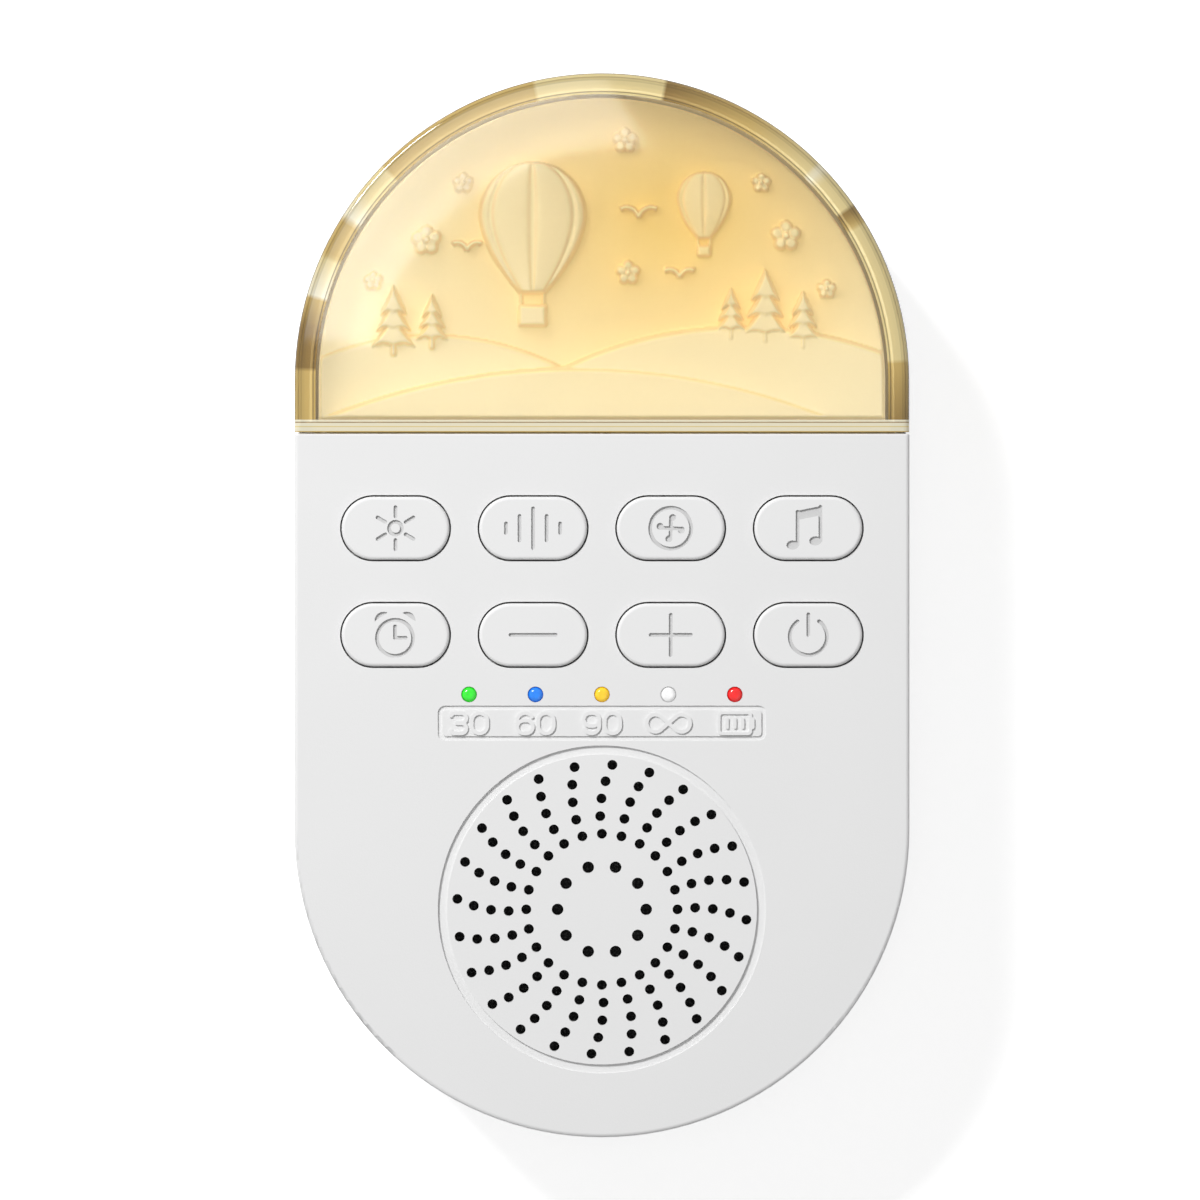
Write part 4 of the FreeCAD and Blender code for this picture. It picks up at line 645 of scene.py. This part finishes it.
def relief_panel(material):
    """A closed panel with a round-edged relief face and a skirt."""
    low, high = low_corner("relief_panel") / MM, high_corner("relief_panel") / MM
    radius = (high[0] - low[0]) / 2
    centre_y = high[1] - radius
    face_z = low[2] + PANEL_SKIRT + PANEL_THICKNESS
    straight = centre_y - low[1]
    straight_count = int(PANEL_ROWS * straight / radius / PANEL_ARC_LENGTH)
    straight_rows = np.linspace(low[1], centre_y, straight_count, endpoint=False)
    turn = np.linspace(0, math.pi / 2, PANEL_ROWS)
    row_y = np.concatenate([straight_rows, centre_y + radius * np.sin(turn)])
    arc_half = np.maximum(radius * np.cos(turn), PANEL_LEAST_HALF)
    row_half = np.concatenate([np.full(len(straight_rows), radius), arc_half])
    x = row_half[:, None] * np.linspace(-1, 1, PANEL_COLUMNS)[None, :]
    y = np.repeat(row_y[:, None], PANEL_COLUMNS, axis=1)
    side = np.where(y > centre_y, radius - np.hypot(x, y - centre_y), radius - np.abs(x))
    edge = np.clip(np.minimum(side, y - low[1]) / PANEL_EDGE_ROUND, 0, 1)
    rounding = PANEL_EDGE_ROUND * (1 - np.sqrt(1 - (1 - edge) ** 2))
    z = face_z + relief_height(x, y - low[1]) * edge - rounding
    rows, columns = x.shape
    points = [tuple(p) for p in np.stack([x, y, z], axis=-1).reshape(-1, 3) * MM]
    faces = []
    for i in range(rows - 1):
        for j in range(columns - 1):
            a = i * columns + j
            faces.append((a, a + 1, a + columns + 1, a + columns))
    rim = list(range(columns))
    rim += [i * columns + columns - 1 for i in range(1, rows)]
    rim += [(rows - 1) * columns + j for j in range(columns - 2, -1, -1)]
    rim += [i * columns for i in range(rows - 2, 0, -1)]
    start = len(points)
    points += [(points[v][0], points[v][1], low[2] * MM) for v in rim]
    count = len(rim)
    for k in range(count):
        n = (k + 1) % count
        faces.append((rim[n], rim[k], start + k, start + n))
    faces.append(tuple(start + k for k in reversed(range(count))))
    mesh = bpy.data.meshes.new("relief_face")
    mesh.from_pydata(points, [], faces)
    mesh.polygons.foreach_set("use_smooth", [True] * len(mesh.polygons))
    mesh.materials.append(material)
    piece = bpy.data.objects.new("relief_face", mesh)
    bpy.context.scene.collection.objects.link(piece)
    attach(piece, "case")
    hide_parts("relief_panel")


# Stage, lights and camera

def white_to_the_eye(tree):
    """1 for rays from the camera and their mirrored or refracted ones, 0 for light that falls on things."""
    path = tree.nodes.new("ShaderNodeLightPath")
    seen = path.outputs["Is Camera Ray"]
    for name in ("Is Glossy Ray", "Is Transmission Ray"):
        seen = math_node(tree, "MAXIMUM", seen, path.outputs[name])
    direct = math_node(tree, "LESS_THAN", path.outputs["Diffuse Depth"], 0.5)
    return math_node(tree, "MULTIPLY", seen, direct)


def build_world():
    world = bpy.data.worlds.new("studio")
    bpy.context.scene.world = world
    world.use_nodes = True
    tree = world.node_tree
    level = ranged(tree, white_to_the_eye(tree), (0.0, 1.0), (SKY_LEVEL, 1.0))
    tree.links.new(level, tree.nodes["Background"].inputs["Strength"])
    tree.nodes["Background"].inputs["Color"].default_value = (1, 1, 1, 1)


def stage_mesh(name, points, faces, material):
    """A piece of the studio, apart from the object."""
    mesh = bpy.data.meshes.new(name)
    mesh.from_pydata(points, [], faces)
    mesh.materials.append(material)
    piece = bpy.data.objects.new(name, mesh)
    bpy.context.scene.collection.objects.link(piece)


def build_floor():
    """A pale floor that fades out far away and can be looked through from below."""
    material, tree, shader = fresh("floor")
    shader.inputs["Base Color"].default_value = FLOOR_TONE
    shader.inputs["Roughness"].default_value = 1.0
    shader.inputs["Specular IOR Level"].default_value = 0.0
    shader.inputs["Emission Color"].default_value = (1, 1, 1, 1)
    lift = math_node(tree, "MULTIPLY", white_to_the_eye(tree), FLOOR_LIFT)
    tree.links.new(lift, shader.inputs["Emission Strength"])
    x, y, z = coordinates(tree, "Object")
    fade = ranged(tree, distance(tree, x, y), FLOOR_FADE, (0.0, 1.0), smooth=True)
    facing = tree.nodes.new("ShaderNodeNewGeometry")
    gone = math_node(tree, "MAXIMUM", facing.outputs["Backfacing"], fade)
    clear = tree.nodes.new("ShaderNodeBsdfTransparent")
    mix = tree.nodes.new("ShaderNodeMixShader")
    tree.links.new(gone, mix.inputs["Fac"])
    tree.links.new(shader.outputs["BSDF"], mix.inputs[1])
    tree.links.new(clear.outputs["BSDF"], mix.inputs[2])
    tree.links.new(mix.outputs["Shader"], tree.nodes["Material Output"].inputs["Surface"])
    corners = ((-1, -1), (1, -1), (1, 1), (-1, 1))
    stage_mesh("floor", [(FLOOR_REACH * a, FLOOR_REACH * b, 0) for a, b in corners], [(0, 1, 2, 3)], material)


def area_light(name, place, aim, size, power):
    light = bpy.data.lights.new(name, "AREA")
    light.size = size
    light.energy = power
    lamp = bpy.data.objects.new(name, light)
    lamp.location = place
    direction = np.array(aim) - np.array(place)
    yaw = math.atan2(direction[1], direction[0])
    pitch = math.atan2(math.hypot(direction[0], direction[1]), -direction[2])
    lamp.rotation_euler = (pitch, 0, yaw - math.pi / 2)
    bpy.context.scene.collection.objects.link(lamp)


def build_lights():
    middle = (0, 0, cad_box[1][2])
    area_light("key", KEY_PLACE, middle, KEY_SIZE, KEY_POWER)
    area_light("fill", FILL_PLACE, middle, FILL_SIZE, FILL_POWER)


def band_edge(circle, turns):
    """Points along one edge of the softbox's band, in the photograph's pixels."""
    angles = [math.radians(turn) for turn in np.linspace(turns[0], turns[1], BAND_STEPS)]
    return [(circle[0] + circle[2] * math.cos(a), circle[1] - circle[2] * math.sin(a)) for a in angles]


def build_softbox():
    """A bright card behind the camera, which the cover's flat face mirrors as a pale arched band."""
    scale = CASE_WIDTH / CASE_WIDTH_PIXELS
    half = PHOTO_PIXELS / 2
    height = cad_box[1][2] + SOFTBOX_HEIGHT
    away = 1 + SOFTBOX_HEIGHT / CAMERA_DISTANCE
    points = []
    for px, py in band_edge(BAND_OUTER, BAND_OUTER_TURNS) + band_edge(BAND_INNER, BAND_INNER_TURNS):
        points.append(((half - CASE_CENTRE_PIXEL[0] + (px - half) * away) * scale,
                       (CASE_CENTRE_PIXEL[1] - half - (py - half) * away) * scale, height))
    faces = [(k, k + 1, BAND_STEPS + k + 1, BAND_STEPS + k) for k in range(BAND_STEPS - 1)]
    material, tree, shader = fresh("softbox")
    shader.inputs["Base Color"].default_value = (0, 0, 0, 1)
    shader.inputs["Emission Color"].default_value = (1, 1, 1, 1)
    shader.inputs["Emission Strength"].default_value = SOFTBOX_LEVEL
    stage_mesh("softbox", points, faces, material)


def build_camera():
    """Straight above the front face, with the lamp end up."""
    scale = CASE_WIDTH / CASE_WIDTH_PIXELS
    half = PHOTO_PIXELS / 2
    camera = bpy.data.cameras.new("camera")
    camera.sensor_width = SENSOR
    camera.lens = SENSOR * CAMERA_DISTANCE / (PHOTO_PIXELS * scale)
    camera.clip_start = CAMERA_CLIP
    item = bpy.data.objects.new("camera", camera)
    x = (half - CASE_CENTRE_PIXEL[0]) * scale
    y = (CASE_CENTRE_PIXEL[1] - half) * scale
    item.location = (x, y, cad_box[1][2] + CAMERA_DISTANCE)
    bpy.context.scene.collection.objects.link(item)
    bpy.context.scene.camera = item


build_camera()
build_world()
build_floor()
build_lights()
build_softbox()
materials = build_materials()
dress_nodes(materials)
relief_panel(materials["panel_cream"])
bpy.context.scene.view_settings.view_transform = "Standard"
